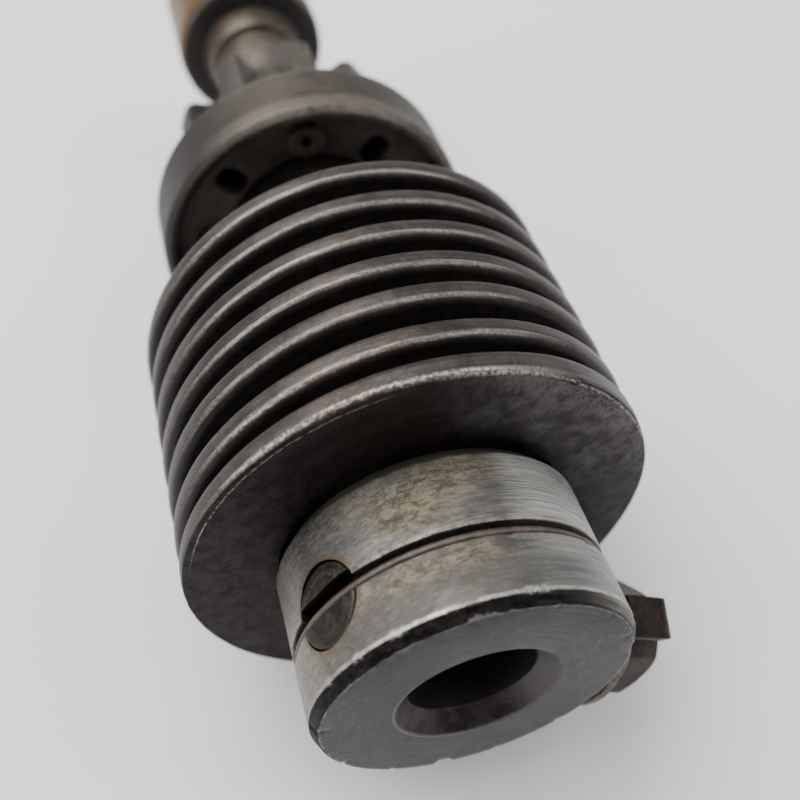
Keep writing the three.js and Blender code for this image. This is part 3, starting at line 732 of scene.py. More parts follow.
def spring_material():
    m = Material("spring_steel")
    place = m.attribute("place")    # distance back through the wire's thickness
    cloud = m.noise(scale=0.12, detail=5, rough=0.6, distort=0.5)
    mid = m.noise(scale=0.6, detail=6, rough=0.66, distort=0.4)
    fine = m.noise(scale=3.0, detail=5, rough=0.68)
    along = m.turned(along=3.4, around=0.16, detail=5, rough=0.72)
    hair = m.turned(along=12.0, around=0.40, detail=4, rough=0.7)
    outer = m.radius.rise(lo=23.5, hi=24.2)

    # rubbed brown-grey outside
    base = (cloud * 0.34 + along * 0.36) + (mid * 0.18 + fine * 0.12)
    colour = m.mix(base.rise(lo=0.41, hi=0.60), (0.0195, 0.0150, 0.0125),
                   (0.068, 0.056, 0.0485))
    patina = m.noise(scale=0.26, detail=6, rough=0.72, distort=1.0).rise(lo=0.48, hi=0.62)
    colour = colour.coat(patina, strength=0.55, rgb=(0.0200, 0.0140, 0.0105))
    warm = m.noise(scale=0.34, detail=6, rough=0.72, distort=1.2).rise(lo=0.54, hi=0.66)
    colour = colour.coat(warm, strength=0.5, rgb=(0.058, 0.037, 0.024))
    # painted glints: small bright specks over the coils
    painted_glints = m.noise(scale=2.2, detail=6, rough=0.82).rise(lo=0.56, hi=0.68)
    colour = colour.coat(painted_glints, strength=0.35, rgb=(0.150, 0.130, 0.112))

    # rubbed front corner broken into dashes, with a painted highlight over it strongest near 106
    # degrees round the shaft; a brighter painted highlight on the first coil
    dash = (along * 0.55 + fine * 0.45).rise(lo=0.40, hi=0.64)
    worn_crest_and_highlight = ((place + (mid - 0.5) * 0.35).band(centre=0.66, half=0.06, soft=0.30) * outer
             * (0.22 + dash * 0.78)
             * (0.22 + m.sector(centre=106, half=18, soft=42) * 0.78))
    colour = colour.coat(worn_crest_and_highlight, strength=0.78, rgb=(0.33, 0.290, 0.252))
    # painted highlight on the first coil's front corner
    first = (worn_crest_and_highlight * m.depth.fall(lo=21.5, hi=22.5)
             * (fine.rise(lo=0.42, hi=0.62) * m.sector(centre=108, half=14, soft=24)))
    colour = colour.coat(first, strength=0.75, rgb=(0.68, 0.620, 0.550))
    # painted shade on the left side of the coils
    colour = colour.coat(m.sector(centre=180, half=25, soft=32) * outer, strength=0.55,
                         rgb=(0.0060, 0.0048, 0.0042))
    back_line = (place.band(centre=2.62, half=0.03, soft=0.12) * outer
                 * fine.rise(lo=0.46, hi=0.6))
    colour = colour.coat(back_line, strength=0.35, rgb=(0.20, 0.175, 0.155))

    # dark oily steel between the coils, deepened with painted shade
    deep = m.radius.fall(lo=23.4, hi=24.55) * m.depth.rise(lo=17.53, hi=17.6)
    dark_side = ((1.0 - place.band(centre=1.45, half=0.95, soft=0.42))
                 * m.depth.rise(lo=17.6, hi=17.9))
    colour = colour.coat(dark_side * (1.0 - worn_crest_and_highlight),
                         rgb=m.mix(0.30, (0.011, 0.0085, 0.0075), colour))
    colour = colour.coat(deep, rgb=m.mix(mid.rise(lo=0.42, hi=0.60), (0.0110, 0.0085, 0.0072),
                                         (0.0280, 0.0205, 0.0165)))
    on_face = m.depth.fall(lo=17.54, hi=17.62)
    colour = colour.coat(on_face, rgb=spring_face(m, cloud, mid, fine))

    # thin bright line round the ground face
    wobble = (m.noise(scale=0.8, detail=4, rough=0.6) - 0.5) * 0.25
    rim_left = ((m.radius + wobble).band(centre=24.22, half=0.03, soft=0.08)
                * m.sector(centre=132, half=22, soft=18))
    rim_right = ((m.radius + wobble * 0.6).band(centre=24.72, half=0.05, soft=0.14)
                 * m.sector(centre=52, half=26, soft=14))
    rim = (rim_left.max(rim_right) * fine.rise(lo=0.40, hi=0.56)
           * m.depth.fall(lo=17.75, hi=17.95))
    colour = colour.coat(rim, strength=0.85, rgb=(0.34, 0.31, 0.28))

    # roughness and metal: base value, then what each area adds or takes away
    rough = 0.44 + (cloud - 0.5) * 0.2 + (hair - 0.5) * 0.25 + deep.max(on_face * 0.6) * 0.2
    rough = (rough - worn_crest_and_highlight * 0.10).clamp()
    metal = (0.62 + on_face * 0.34) - deep * 0.20
    normal = m.bump(hair * 0.6 + along * 0.4, strength=0.28, distance=0.07)
    normal = m.bump(fine * 0.8 + mid * 0.2, strength=0.24, distance=0.14, under=normal)
    return m.finish(colour, rough, metal, normal, specular=0.4)


# ------------------------------------------------------------------ worn plain steels
def steel(name, seed, dark, light, stain, worn, rough, metal, stain_amount=0.5,
          wear_amount=0.8, scale=1.0, detail=None):
    """Cloudy colour, turning streaks, stains, bright worn edges and fine pits.

    detail(material, colour, rough, fine) may add marks; it returns the colour and roughness.
    """
    m = Material(name, seed)
    cloud = m.noise(scale=0.16 * scale, detail=6, rough=0.62, distort=0.6)
    fine = m.noise(scale=1.6 * scale, detail=5, rough=0.6)
    streaks = m.turned(along=2.6, around=0.10, detail=5, rough=0.7)
    hair = m.turned(along=11.0, around=0.25, detail=3, rough=0.6)
    base = cloud * 0.55 + (streaks * 0.30 + fine * 0.15)
    colour = m.mix(base.rise(lo=0.36, hi=0.66), dark, light)
    stains = m.noise(scale=0.34 * scale, detail=7, rough=0.68, distort=1.2)
    stains = (stains + (streaks - 0.5) * 0.35).rise(lo=0.52, hi=0.68) * stain_amount
    colour = colour.coat(stains, rgb=stain)
    broken = m.noise(scale=1.1, detail=5, rough=0.7).rise(lo=0.34, hi=0.6)
    wear = m.attribute("wear") * broken * wear_amount
    colour = colour.coat(wear, rgb=worn)
    roughness = rough + (cloud - 0.5) * 0.28 + (hair - 0.5) * 0.22 + stains * 0.25
    roughness = (roughness - wear * 0.16).clamp()
    metallic = metal - stains * 0.55
    if detail:
        colour, roughness = detail(m, colour, roughness, fine)
    pits = m.cells(scale=1.9 * scale).rise(lo=0.0, hi=0.22)
    normal = m.bump(hair * 0.6 + streaks * 0.4, strength=0.25, distance=0.06)
    normal = m.bump(fine * 0.7 + pits * 0.3, strength=0.15, distance=0.12, under=normal)
    return m.finish(colour, roughness, metallic, normal)


def screw_detail(m, colour, rough, fine):
    """Dark turned rings, brown blots, a darker front side and painted shade in the slot."""
    across, along, outward = m.fixing(SCREW_ANGLE)
    from_axis = m.math("SQRT", across * across + along * along)
    rings = m.noise(scale=1.0, detail=3, rough=0.7, place=m.vector(from_axis * 2.6, 3.0, 1.0))
    colour = colour.coat(rings.rise(lo=0.46, hi=0.60), strength=0.6,
                         rgb=(0.0110, 0.0080, 0.0060))
    blots = m.noise(scale=1.1, detail=6, rough=0.75, distort=0.8)
    colour = colour.coat(blots.rise(lo=0.52, hi=0.64), strength=0.7, rgb=(0.072, 0.060, 0.046))
    colour = colour.coat(along.fall(lo=-2.2, hi=0.4), strength=0.5,
                         rgb=(0.0095, 0.0074, 0.0057))
    # painted shade deep in the slot and pocket
    return colour.coat(outward.fall(lo=15.35, hi=15.65), rgb=(0.0060, 0.0048, 0.0040)), rough


def nut_detail(m, colour, rough, fine):
    """Dark brown on the lug's outer side."""
    across, along, outward = m.fixing(STUD_ANGLE)
    towards_lug = along * math.cos(LUG_TURN) + across * math.sin(LUG_TURN)
    lug = towards_lug.rise(lo=8.25, hi=8.55) * outward.fall(lo=21.2, hi=21.5)
    scale = m.mix(fine.rise(lo=0.4, hi=0.6), (0.0110, 0.0050, 0.0038), (0.0245, 0.0125, 0.0095))
    return colour.coat(lug, strength=0.9, rgb=scale), (rough + lug * 0.2).clamp()


def shaft_detail(m, colour, rough, fine):
    """Painted shade, nearly black, between collar and drum; tan patches behind, darker at the
    rear.
    """
    # painted shade where the shaft runs inside the spring and sleeve
    painted_shade_inside = m.depth.rise(lo=17.3, hi=17.6) * m.depth.fall(lo=74.0, hi=77.0)
    colour = colour.coat(painted_shade_inside, strength=0.96, rgb=(0.0035, 0.0028, 0.0024))
    tan = (m.noise(scale=0.20, detail=4, rough=0.6).rise(lo=0.50, hi=0.62)
           * m.depth.rise(lo=77.0, hi=78.0))
    colour = colour.coat(tan, strength=0.62, rgb=(0.158, 0.110, 0.066))
    colour = colour.coat(m.depth.rise(lo=106.0, hi=112.0), strength=0.80,
                         rgb=(0.066, 0.052, 0.038))
    return colour, (rough + painted_shade_inside * 0.3).clamp()


def drum_detail(m, colour, rough, fine):
    """Dark left side and a painted highlight band on top, near the front rim."""
    colour = colour.coat(m.sector(centre=185, half=45, soft=45), strength=0.90,
                         rgb=(0.0115, 0.0090, 0.0070))
    # painted highlight band on top, near the front rim
    painted_rim_highlight = (m.depth.band(centre=68.9, half=0.5, soft=1.4)
            * (m.sector(centre=84, half=20, soft=32) * m.radius.rise(lo=20.2, hi=20.6)))
    return colour.coat(painted_rim_highlight, strength=0.45, rgb=(0.150, 0.130, 0.110)), rough


COLLAR_STEEL = collar_material()
SPRING_STEEL = spring_material()
SCREW_STEEL = steel(
    "screw_steel", seed=2, dark=(0.0080, 0.0062, 0.0050), light=(0.036, 0.029, 0.0220),
    stain=(0.028, 0.0168, 0.0098), worn=(0.12, 0.100, 0.078), rough=0.56, metal=0.85,
    stain_amount=0.8, wear_amount=0.6, scale=2.0, detail=screw_detail)
RING_WIRE = steel(
    "ring_wire", seed=3, dark=(0.034, 0.026, 0.021), light=(0.115, 0.092, 0.078),
    stain=(0.060, 0.034, 0.021), worn=(0.3, 0.2, 0.15), rough=0.48, metal=0.6,
    stain_amount=0.9, scale=2.5)
NUT_STEEL = steel(
    "nut_steel", seed=4, dark=(0.0145, 0.0110, 0.0085), light=(0.074, 0.060, 0.046),
    stain=(0.036, 0.0190, 0.0120), worn=(0.150, 0.127, 0.100), rough=0.56, metal=0.85,
    stain_amount=0.9, scale=1.6, detail=nut_detail)
SHAFT_STEEL = steel(
    "shaft_steel", seed=6, dark=(0.070, 0.060, 0.049), light=(0.175, 0.155, 0.128),
    stain=(0.080, 0.054, 0.033), worn=(0.25, 0.22, 0.18), rough=0.45, metal=0.72,
    stain_amount=0.6, detail=shaft_detail)
SEAT_STEEL = steel(
    "seat_steel", seed=7, dark=(0.030, 0.026, 0.022), light=(0.085, 0.072, 0.062),
    stain=(0.052, 0.032, 0.02), worn=(0.22, 0.19, 0.16), rough=0.5, metal=0.7)
DRUM_STEEL = steel(
    "drum_steel", seed=8, dark=(0.030, 0.0242, 0.0183), light=(0.074, 0.0610, 0.0475),
    stain=(0.050, 0.034, 0.020), worn=(0.150, 0.132, 0.112), rough=0.54, metal=0.62,
    stain_amount=0.6, wear_amount=0.4, detail=drum_detail)
PLATE_STEEL = steel(
    "plate_steel", seed=9, dark=(0.0440, 0.0335, 0.0290), light=(0.105, 0.081, 0.0690),
    stain=(0.044, 0.030, 0.018), worn=(0.06, 0.05, 0.04), rough=0.62, metal=0.35,
    stain_amount=0.6)
WASHER_BLACK = steel(
    "washer_black", seed=10, dark=(0.0075, 0.006, 0.006), light=(0.022, 0.018, 0.016),
    stain=(0.028, 0.019, 0.012), worn=(0.08, 0.065, 0.05), rough=0.6, metal=0.3,
    stain_amount=0.4)
BUSH_BRASS = steel(
    "bush_brass", seed=11, dark=(0.112, 0.060, 0.018), light=(0.178, 0.096, 0.031),
    stain=(0.078, 0.043, 0.013), worn=(0.25, 0.140, 0.045), rough=0.40, metal=0.98,
    stain_amount=0.25, wear_amount=0.5)


# ------------------------------------------------------------------ collar and its fixings
# Profile tables hold (radius, depth, corner radius); those about a fixing's axis hold
# (radius, height above the shaft's axis, corner radius).
def collar_shape(r, depth, wear, angle):
    """Small bruises on the corners and a faint waviness of the round."""
    x, _, z = around_shaft(r, depth, angle)
    if wear > 0 and r > 13:
        front = depth < 3
        hit = max(0.0, fractal(x * 0.55, depth * 0.3 + 7, z * 0.55, 3) - 0.28)
        if front:
            r -= 0.55 * hit
            depth += 0.45 * hit
        else:
            r -= 0.25 * hit
    if r > 15.5:
        r += 0.012 * fractal(x * 0.15, depth * 0.15, z * 0.15, 2)
    return r, depth, wear


def make_collar():
    groove_r, groove_front, groove_rear = 14.85, 6.95, 8.35
    collar = lathe("collar_body", [
        (6.45, 1.9, 0.3), (8.25, 0, 0.22), (15.44, 0, 0.14), (COLLAR_R, 1.12, 0.28),
        (COLLAR_R, groove_front, 0.10), (groove_r, groove_front, 0.1),
        (groove_r, groove_rear, 0.1), (COLLAR_R, groove_rear, 0.10),
        (COLLAR_R, 15.95, 0.5), (14.85, 17.45, 0.15), (7.15, 17.45, 0), (7.15, 11.4, 0),
        (6.45, 11.4, 0.1),
    ], COLLAR_STEEL, seg=320, step=0.8, shape=collar_shape, corner_steps=5)
    cut(collar, [radial_cylinder(4.0, 12.6, 20, SCREW_ANGLE, seg=96),
                 radial_cylinder(2.57, 3, 14, SCREW_ANGLE, seg=48),
                 radial_cylinder(3.07, 3, 20, STUD_ANGLE, seg=64)])
    return collar


def screw_shape(r, height, wear, angle):
    """Shallow dents in the head."""
    if height > 15:
        dent = fractal(r * math.cos(angle) * 0.7, 3, r * math.sin(angle) * 0.7, 3)
        height -= 0.05 * max(0, dent)
    return r, height, wear


def make_screw():
    """Slotted screw with a slightly domed head."""
    screw = lathe("slotted_screw", [
        (0, 7.0, 0), (2.2, 7.0, 0.1), (2.45, 7.3, 0.1), (2.45, 12.7, 0), (3.85, 12.7, 0.1),
        (3.85, 15.72, 0.22), (2.9, 15.93, 0.4), (0, 15.97, 0),
    ], SCREW_STEEL, seg=128, step=0.35, ends="axis", shape=screw_shape,
        place=around_fixing(SCREW_ANGLE))
    cut(screw, [box_cutter((4, 2.15, 12), 16.3, SCREW_ANGLE, 7.92)])
    return screw


def make_lock_ring():
    """Wire in the collar's groove and the screw's slot, open on either side of the stud."""
    wire_r, ring_r, ring_depth = 0.46, 15.42, 7.46
    end_round = 0.35        # length over which each end narrows
    half = math.pi - math.radians(17)
    steps, sides = 260, 16
    rings = []
    for i in range(steps + 1):
        t = i / steps
        angle = STUD_ANGLE + math.pi - half + 2 * half * t
        to_end = min(t, 1 - t) * 2 * half * 15.4
        taper = 1.0
        if to_end <= end_round:
            taper = max(0.25, math.sqrt(max(0.0, 1 - (1 - to_end / end_round) ** 2)))
        cosine, sine = math.cos(angle), math.sin(angle)
        centre_r = ring_r + 0.04 * fractal(cosine * 3, 1.0, sine * 3, 2)
        centre_depth = ring_depth + 0.03 * fractal(cosine * 2, 9.0, sine * 2, 2)
        ring = []
        for k in range(sides):
            around = 2 * math.pi * k / sides
            ring.append(around_shaft(centre_r + wire_r * taper * math.cos(around),
                                     centre_depth + wire_r * taper * math.sin(around), angle))
        rings.append(ring)
    return sweep("groove_wire_ring", rings, {"wear": [0.0] * (len(rings) * sides)}, RING_WIRE)


def make_stud():
    """Clamp stud with thread ridges along its upper part."""
    crest_r, root_r, pitch = 2.95, 2.55, 0.8
    points = [(0, 7.0, 0), (2.7, 7.0, 0.1), (crest_r, 7.3, 0.1), (crest_r, 15.9, 0)]
    height = 16.2
    while height < 23.9:
        points += [(crest_r, height, 0.08), (crest_r, height + 0.22, 0.08),
                   (root_r, height + 0.62, 0.1)]
        height += pitch
    points += [(2.6, 24.3, 0.05), (2.35, 24.7, 0.15), (0, 24.7, 0)]
    return lathe("clamp_stud_thread", points, NUT_STEEL, seg=64, step=0.6, ends="axis",
                 place=around_fixing(STUD_ANGLE))


def lug_box(size, offset, corner, corner_segments):
    """A box of (height, thickness, width) on the washer's base, offset from the stud's axis."""
    cube = bmesh.new()
    bmesh.ops.create_cube(cube, size=1)
    mesh = bpy.data.meshes.new("tab")
    cube.to_mesh(mesh)
    cube.free()
    ob = bpy.data.objects.new("tab", mesh)
    bpy.context.scene.collection.objects.link(ob)
    centre = Vector((WASHER_BASE + size[0] / 2, offset, 0))
    ob.matrix_world = (Matrix.Translation(Vector((0, world_y(FIX_DEPTH), 0)))
                       @ Matrix.Rotation(-STUD_ANGLE, 4, "Y")
                       @ Matrix.Rotation(LUG_TURN, 4, "X")
                       @ Matrix.Translation(centre * MM)
                       @ Matrix.Diagonal((size[0] * MM, size[1] * MM, size[2] * MM, 1)))
    add_bevel(ob, corner, corner_segments)
    bake(ob, 40)
    return ob


def washer_shape(r, height, wear, angle):
    """An uneven outer edge."""
    if r > 7:
        r -= 0.18 * max(0, fractal(math.cos(angle) * 2.2, 4, math.sin(angle) * 2.2, 3))
    return r, height, wear


def make_washer():
    """Washer with a lug standing beside the nut and the lug's foot."""
    washer = lathe("tab_washer_plate", [
        (3.1, WASHER_BASE, 0.05), (7.7, WASHER_BASE, 0.2), (7.7, WASHER_TOP, 0.35),
        (3.1, WASHER_TOP, 0.05),
    ], NUT_STEEL, seg=140, step=0.5, shape=washer_shape, place=around_fixing(STUD_ANGLE))
    lug = lug_box((5.7, 1.4, 4.2), offset=7.95, corner=0.0003, corner_segments=4)
    foot = lug_box((1.27, 3.6, 4.18), offset=6.8, corner=0.00015, corner_segments=3)
    cut(washer, [foot, lug], "UNION")
    return washer


def make_nut():
    """Hexagon with its corners chamfered by a cone and a countersunk bore."""
    place = around_fixing(STUD_ANGLE)
    verts = [place(NUT_R, height, math.radians(25 + 60 * k))
             for height in (NUT_BASE, NUT_TOP) for k in range(6)]
    faces = [tuple(range(6)), tuple(range(11, 5, -1))]
    faces += [(i, (i + 1) % 6, 6 + (i + 1) % 6, 6 + i) for i in range(6)]
    nut = new_object("clamp_nut_hex", verts, faces, {}, NUT_STEEL)
    cone = lathe("cone_tool", [
        (0, NUT_TOP, 0), (NUT_R * 0.88, NUT_TOP, 0.3), (NUT_R * 1.03, NUT_TOP - 0.95, 0),
        (NUT_R * 1.03, NUT_BASE + 0.3, 0), (NUT_R * 0.95, NUT_BASE, 0), (0, NUT_BASE, 0),
    ], None, seg=96, step=2, ends="axis", place=place)
    cut(nut, [cone], "INTERSECT")
    sink = lathe("sink_tool", [
        (0, NUT_TOP + 1, 0), (4.2, NUT_TOP + 1, 0), (3.07, NUT_TOP - 0.3, 0),
        (3.07, NUT_BASE - 1, 0), (0, NUT_BASE - 1, 0),
    ], None, seg=64, step=2, ends="axis", place=place)
    cut(nut, [sink])
    add_bevel(nut, 0.16 * MM, segments=3, angle=25)
    bake(nut, 40.0)
    return nut


# ------------------------------------------------------------------ drive spring
# rear edge of the wire: degrees wound from the front tip, depth
SPRING_EDGE = [
    (0, 17.51), (60, 18.4), (340, 20.55), (360, 21.0), (700, 24.9), (1060, 30.1),
    (1420, 34.75), (1780, 39.6), (2140, 44.65), (2500, 49.9), (2600, 50.9)]
SPRING_TIP = 72.0       # degrees, before ROLL
SPRING_WOUND = 2600.0   # degrees from tip to tip
WIRE_THICKNESS = 2.9


def edge_at(wound):
    return float(np.interp(wound, [p[0] for p in SPRING_EDGE], [p[1] for p in SPRING_EDGE]))


def wire_section():
    """(radius, distance through the thickness, wear), with well rounded outer corners."""
    corners = [(SPRING_BORE_R, 0.0, 0.35), (SPRING_R, 0.0, 1.15),
               (SPRING_R, WIRE_THICKNESS, 1.0), (SPRING_BORE_R, WIRE_THICKNESS, 0.35)]
    return [(r, through, wear if r > 20 else 0.0)
            for r, through, wear in outline(corners, 1.1, corner_steps=7)]


def make_spring():
    section = wire_section()
    fade = 110              # degrees over which the squared corners of the first coil fade
    count = int(SPRING_WOUND / 360 * 220)
    rings, turns, places = [], [], []
    for i in range(count + 1):
        wound = SPRING_WOUND * i / count
        degrees = SPRING_TIP + ROLL - wound
        cosine, sine = math.cos(math.radians(degrees)), math.sin(math.radians(degrees))
        edge = edge_at(wound)
        # the front side is thickened where the second coil meets the tip
        land = 0.6 * max(0.0, 1 - abs(wound - 360) / 60)
        # neither the front plane nor the coil before is entered
        front_limit = SPRING_FRONT
        if 360.5 < wound < 720:
            front_limit = max(SPRING_FRONT, edge_at(wound - 360) + 0.015)
        swell = 0.04 * fractal(cosine * 1.4, edge * 0.25, sine * 1.4, 2)
        # the ground end is drawn in a little on its right side
        off = (degrees + 20 + 180) % 360 - 180
        neck = 1.15 * math.exp(-(off / 38.0) ** 2) if wound < 250 else 0.0
        ring = []
        for section_r, through, wear in section:
            r = section_r + (swell - neck if section_r > 20 else 0.0)
            if section_r > SPRING_R - 0.02:
                share = (through / WIRE_THICKNESS) * 2 - 1
                r -= 0.06 * share * share
            elif section_r > 23.5 and wound < fade and through > WIRE_THICKNESS * 0.5:
                r += (SPRING_R - section_r) * 0.85 * (1 - wound / fade)
            elif (section_r > 23.5 and 360 < wound < 360 + fade
                  and through < WIRE_THICKNESS * 0.5):
                r += (SPRING_R - section_r) * 0.85 * (1 - (wound - 360) / fade)
            depth = edge - WIRE_THICKNESS + through - land * (1 - through / WIRE_THICKNESS)
            depth = min(max(depth, front_limit), SPRING_REAR)
            if wear > 0:
                bruise = fractal(r * cosine * 0.5, edge * 0.9, r * sine * 0.5, 3) - 0.40
                r -= 0.16 * max(0.0, bruise)
            ring.append((r * cosine, depth, r * sine))
            places.append(through)
            turns.append(wound)
        rings.append(ring)
    return sweep("coil_spring", rings, {"place": places, "turn": turns}, SPRING_STEEL, sharp=38)


# ------------------------------------------------------------------ shaft, seat, sleeve
def make_shaft():
    return lathe("plain_shaft", [
        (0, 11.6, 0), (7.1, 11.6, 0.2), (7.1, 113.5, 0.12), (6.5, 113.6, 0.15),
        (6.5, 114.2, 0.15), (7.6, 114.3, 0.2), (8.4, 118.6, 0.25), (8.4, 119.0, 0.12),
        (6.0, 119.0, 0), (6.0, 140, 0.15), (5.2, SHAFT_END, 0.15), (0, SHAFT_END, 0),
    ], SHAFT_STEEL, step=1.5, ends="axis")


def make_seat():
    return lathe("spring_seat_plate", [
        (8.4, SEAT_FRONT, 0.15), (20.6, SEAT_FRONT, 0.35), (20.6, 52.5, 0.35),
        (8.4, 52.5, 0.15),
    ], SEAT_STEEL, seg=180)


def thread_shape(r, depth, wear, angle):
    """Four shallow square threads of long lead, where the profile leaves the radius open."""
    if r is not None:
        return r, depth, wear
    starts, lead, root_r, thread_height = 4, 40.0, 8.05, 0.6
    phase = (starts * (angle / (2 * math.pi) + (depth - 54.9) / lead)) % 1.0
    side = min(1.0, max(0.0, (abs(phase - 0.5) * 2 - 0.42) / 0.10))
    side = side * side * (3 - 2 * side)
    run_out = max(0.0, min(1.0, (95.2 - depth) / 0.8))
    return (root_r + (thread_height * side) * run_out, depth,
            1.0 if 0.02 < side < 0.98 else 0.0)


def make_sleeve():
    front, flange_rear, rear, bore_r = SPRING_REAR, 55.1, 95.5, 7.3
    thread_steps, bore_steps = 110, 12
    profile = outline([
        (bore_r, front, 0), (8.3, front, 0), (8.3, 52.52, 0), (11.2, 52.52, 0.2),
        (11.2, flange_rear, 0.3), (8.35, flange_rear, 0.2),
    ], 0.8, closed=False)
    for i in range(1, thread_steps + 1):
        depth = flange_rear + (rear - 0.6 - flange_rear) * i / thread_steps
        profile.append((None, depth, 0.0))
    profile += [(7.95, rear, 0.3), (bore_r, rear, 0)]
    for i in range(bore_steps, 0, -1):
        profile.append((bore_r, front + (rear - front) * (i - 0.5) / bore_steps, 0))
    verts, faces, wear = revolve(profile, 288, around_shaft, shape=thread_shape)
    return new_object("sleeve_screw", verts, faces, {"wear": wear}, SHAFT_STEEL, 40)


def make_thrust_washer():
    return lathe("thrust_washer", [
        (8.9, 64.6, 0.12), (11.4, 64.6, 0.25), (11.4, 66.2, 0.25), (8.9, 66.2, 0.12),
    ], SEAT_STEEL, seg=128, step=0.8)


# ------------------------------------------------------------------ drum, plate, rivets
def make_drum():
    drum = lathe("drum_shell", [
        (11.0, 74.4, 0.1), (19.0, 74.4, 0.4), (19.0, 67.4, 0.2), (19.5, 66.9, 0.3),
        (20.1, 66.9, 0.3), (20.8, 67.8, 0.5), (20.8, 76.2, 0.4), (20.1, 77.0, 0.3),
        (11.0, 77.0, 0.1),
    ], DRUM_STEEL, seg=256, step=0.9)
    cut(drum, rivet_holes(front=70))
    return drum


def make_plate():
    plate = lathe("windowed_plate", [
        (11.0, 71.6, 0.2), (18.85, 71.6, 0.2), (18.85, 74.3, 0), (11.0, 74.3, 0),
    ], PLATE_STEEL, seg=200, step=0.9)
    windows = []
    for angle in WINDOW_ANGLES:
        window = box_cutter((4.3, 8, 3.7), 13.75, angle, 73)
        add_bevel(window, width=0.35, segments=3)
        windows.append(window)
    cut(plate, rivet_holes(front=65) + windows)
    return plate


def make_rivets():
    """Four rivets, hollow at the front and merged to one vertex at each end of the axis."""
    profile = outline([
        (0.0, 73.6, 0), (0.75, 73.6, 0), (0.75, 70.75, 0.1), (1.05, 70.35, 0.15),
        (2.2, 70.3, 0.5), (2.5, 71.2, 0.35), (2.42, 71.58, 0.1), (1.5, 71.58, 0),
        (1.5, 76.8, 0), (0, 76.8, 0),
    ], 0.4, closed=False, corner_steps=5)
    for number, rivet_angle in enumerate(RIVET_ANGLES, 1):
        centre_x = RIVET_PITCH_R * math.cos(rivet_angle)
        centre_z = RIVET_PITCH_R * math.sin(rivet_angle)

        def place(r, depth, angle):
            x, _, z = around_shaft(max(r, 1e-4), depth, angle)
            return centre_x + x, depth, centre_z + z

        verts, faces, wear = revolve(profile, 48, place, ends="open")
        rivet = new_object("tubular_rivet_%d" % number, verts, faces, {"wear": wear},
                           PLATE_STEEL, 35)
        shell = bmesh.new()
        shell.from_mesh(rivet.data)
        bmesh.ops.remove_doubles(shell, verts=shell.verts, dist=2e-6)
        bmesh.ops.dissolve_degenerate(shell, dist=1e-7, edges=shell.edges)
        shell.to_mesh(rivet.data)
        shell.free()
        finish_mesh(rivet, 35)
        settle(rivet, "pinion_unit", "rivet_%d" % number, "plate_steel")


def make_nut_hub():
    return lathe("control_nut_hub", [
        (8.9, 66.4, 0.15), (10.85, 66.4, 0.4), (10.85, 76.9, 0), (8.9, 76.9, 0),
    ], SEAT_STEEL, seg=128, step=1.0)


# ------------------------------------------------------------------ pinion
TEETH = 9
# one tooth: place as a share of the pitch, radius
TOOTH = [(-0.32, 11.7), (-0.26, 12.8), (-0.185, 15.2), (-0.16, 15.5), (0.16, 15.5),
         (0.185, 15.2), (0.26, 12.8), (0.32, 11.7), (0.5, 11.5)]


def tooth_outline():
    """(radius, angle) round all the teeth, four steps to each side of the tooth table."""
    pitch = 2 * math.pi / TEETH
    points = []
    for i in range(TEETH):
        for k, (share, r) in enumerate(TOOTH):
            next_share, next_r = TOOTH[(k + 1) % len(TOOTH)]
            if k == len(TOOTH) - 1:
                next_share += 1
            for s in range(4):
                t = s / 4
                point_r = r + (next_r - r) * t
                if k in (1, 5):     # slightly full flanks
                    point_r += 0.12 * math.sin(math.pi * t)
                angle = -pitch * (i + share + (next_share - share) * t) + rolled(55.6)
                points.append((point_r, angle))
    return points


def make_pinion():
    """Teeth in rows from front to rear, chamfered at both ends, then the bore."""
    front, length, rows, bore_r = 77.1, 17.4, 35, 9.0
    rear_chamfer = 93.55
    teeth = tooth_outline()
    depths = [front + length * j / (rows - 1) for j in range(rows)]
    verts, wear = [], []
    for depth in depths:
        rear_r = 15.7 if depth < rear_chamfer else 15.5 - (depth - rear_chamfer)
        front_r = 15.7 if depth > 77.6 else 15.1 + (depth - front)
        limit = min(rear_r, front_r)
        for r, angle in teeth:
            verts.append(around_shaft(min(r, limit), depth, angle))
            wear.append(1.0 if (r > limit - 0.01 or r > 15.3) else 0.0)
    bore = [(depths[-1], 9.6), (depths[-1] - 0.5, bore_r), (front + 0.5, bore_r), (front, 9.5)]
    for depth, r in bore:
        for _, angle in teeth:
            verts.append(around_shaft(r, depth, angle))
            wear.append(0.0)
    faces = grid_faces(rows + len(bore), len(teeth))
    return new_object("pinion_gear", verts, faces, {"wear": wear}, DRUM_STEEL, 30)


# ------------------------------------------------------------------ rear end
def make_end_washer():
    return lathe("black_end_washer", [
        (6.12, 119.1, 0.1), (11.9, 119.1, 0.3), (11.9, 120.9, 0.3), (6.12, 120.9, 0.1),
    ], WASHER_BLACK, step=0.8)


def make_bush():
    return lathe("brass_end_bush", [
        (6.1, 121.1, 0.2), (12.2, 121.1, 0.35), (12.2, 138.3, 0.35), (11.5, 139.0, 0.2),
        (6.9, 139.0, 0.2), (6.1, 138.2, 0.2),
    ], BUSH_BRASS, step=1.0)


# ------------------------------------------------------------------ assembly
spring = None
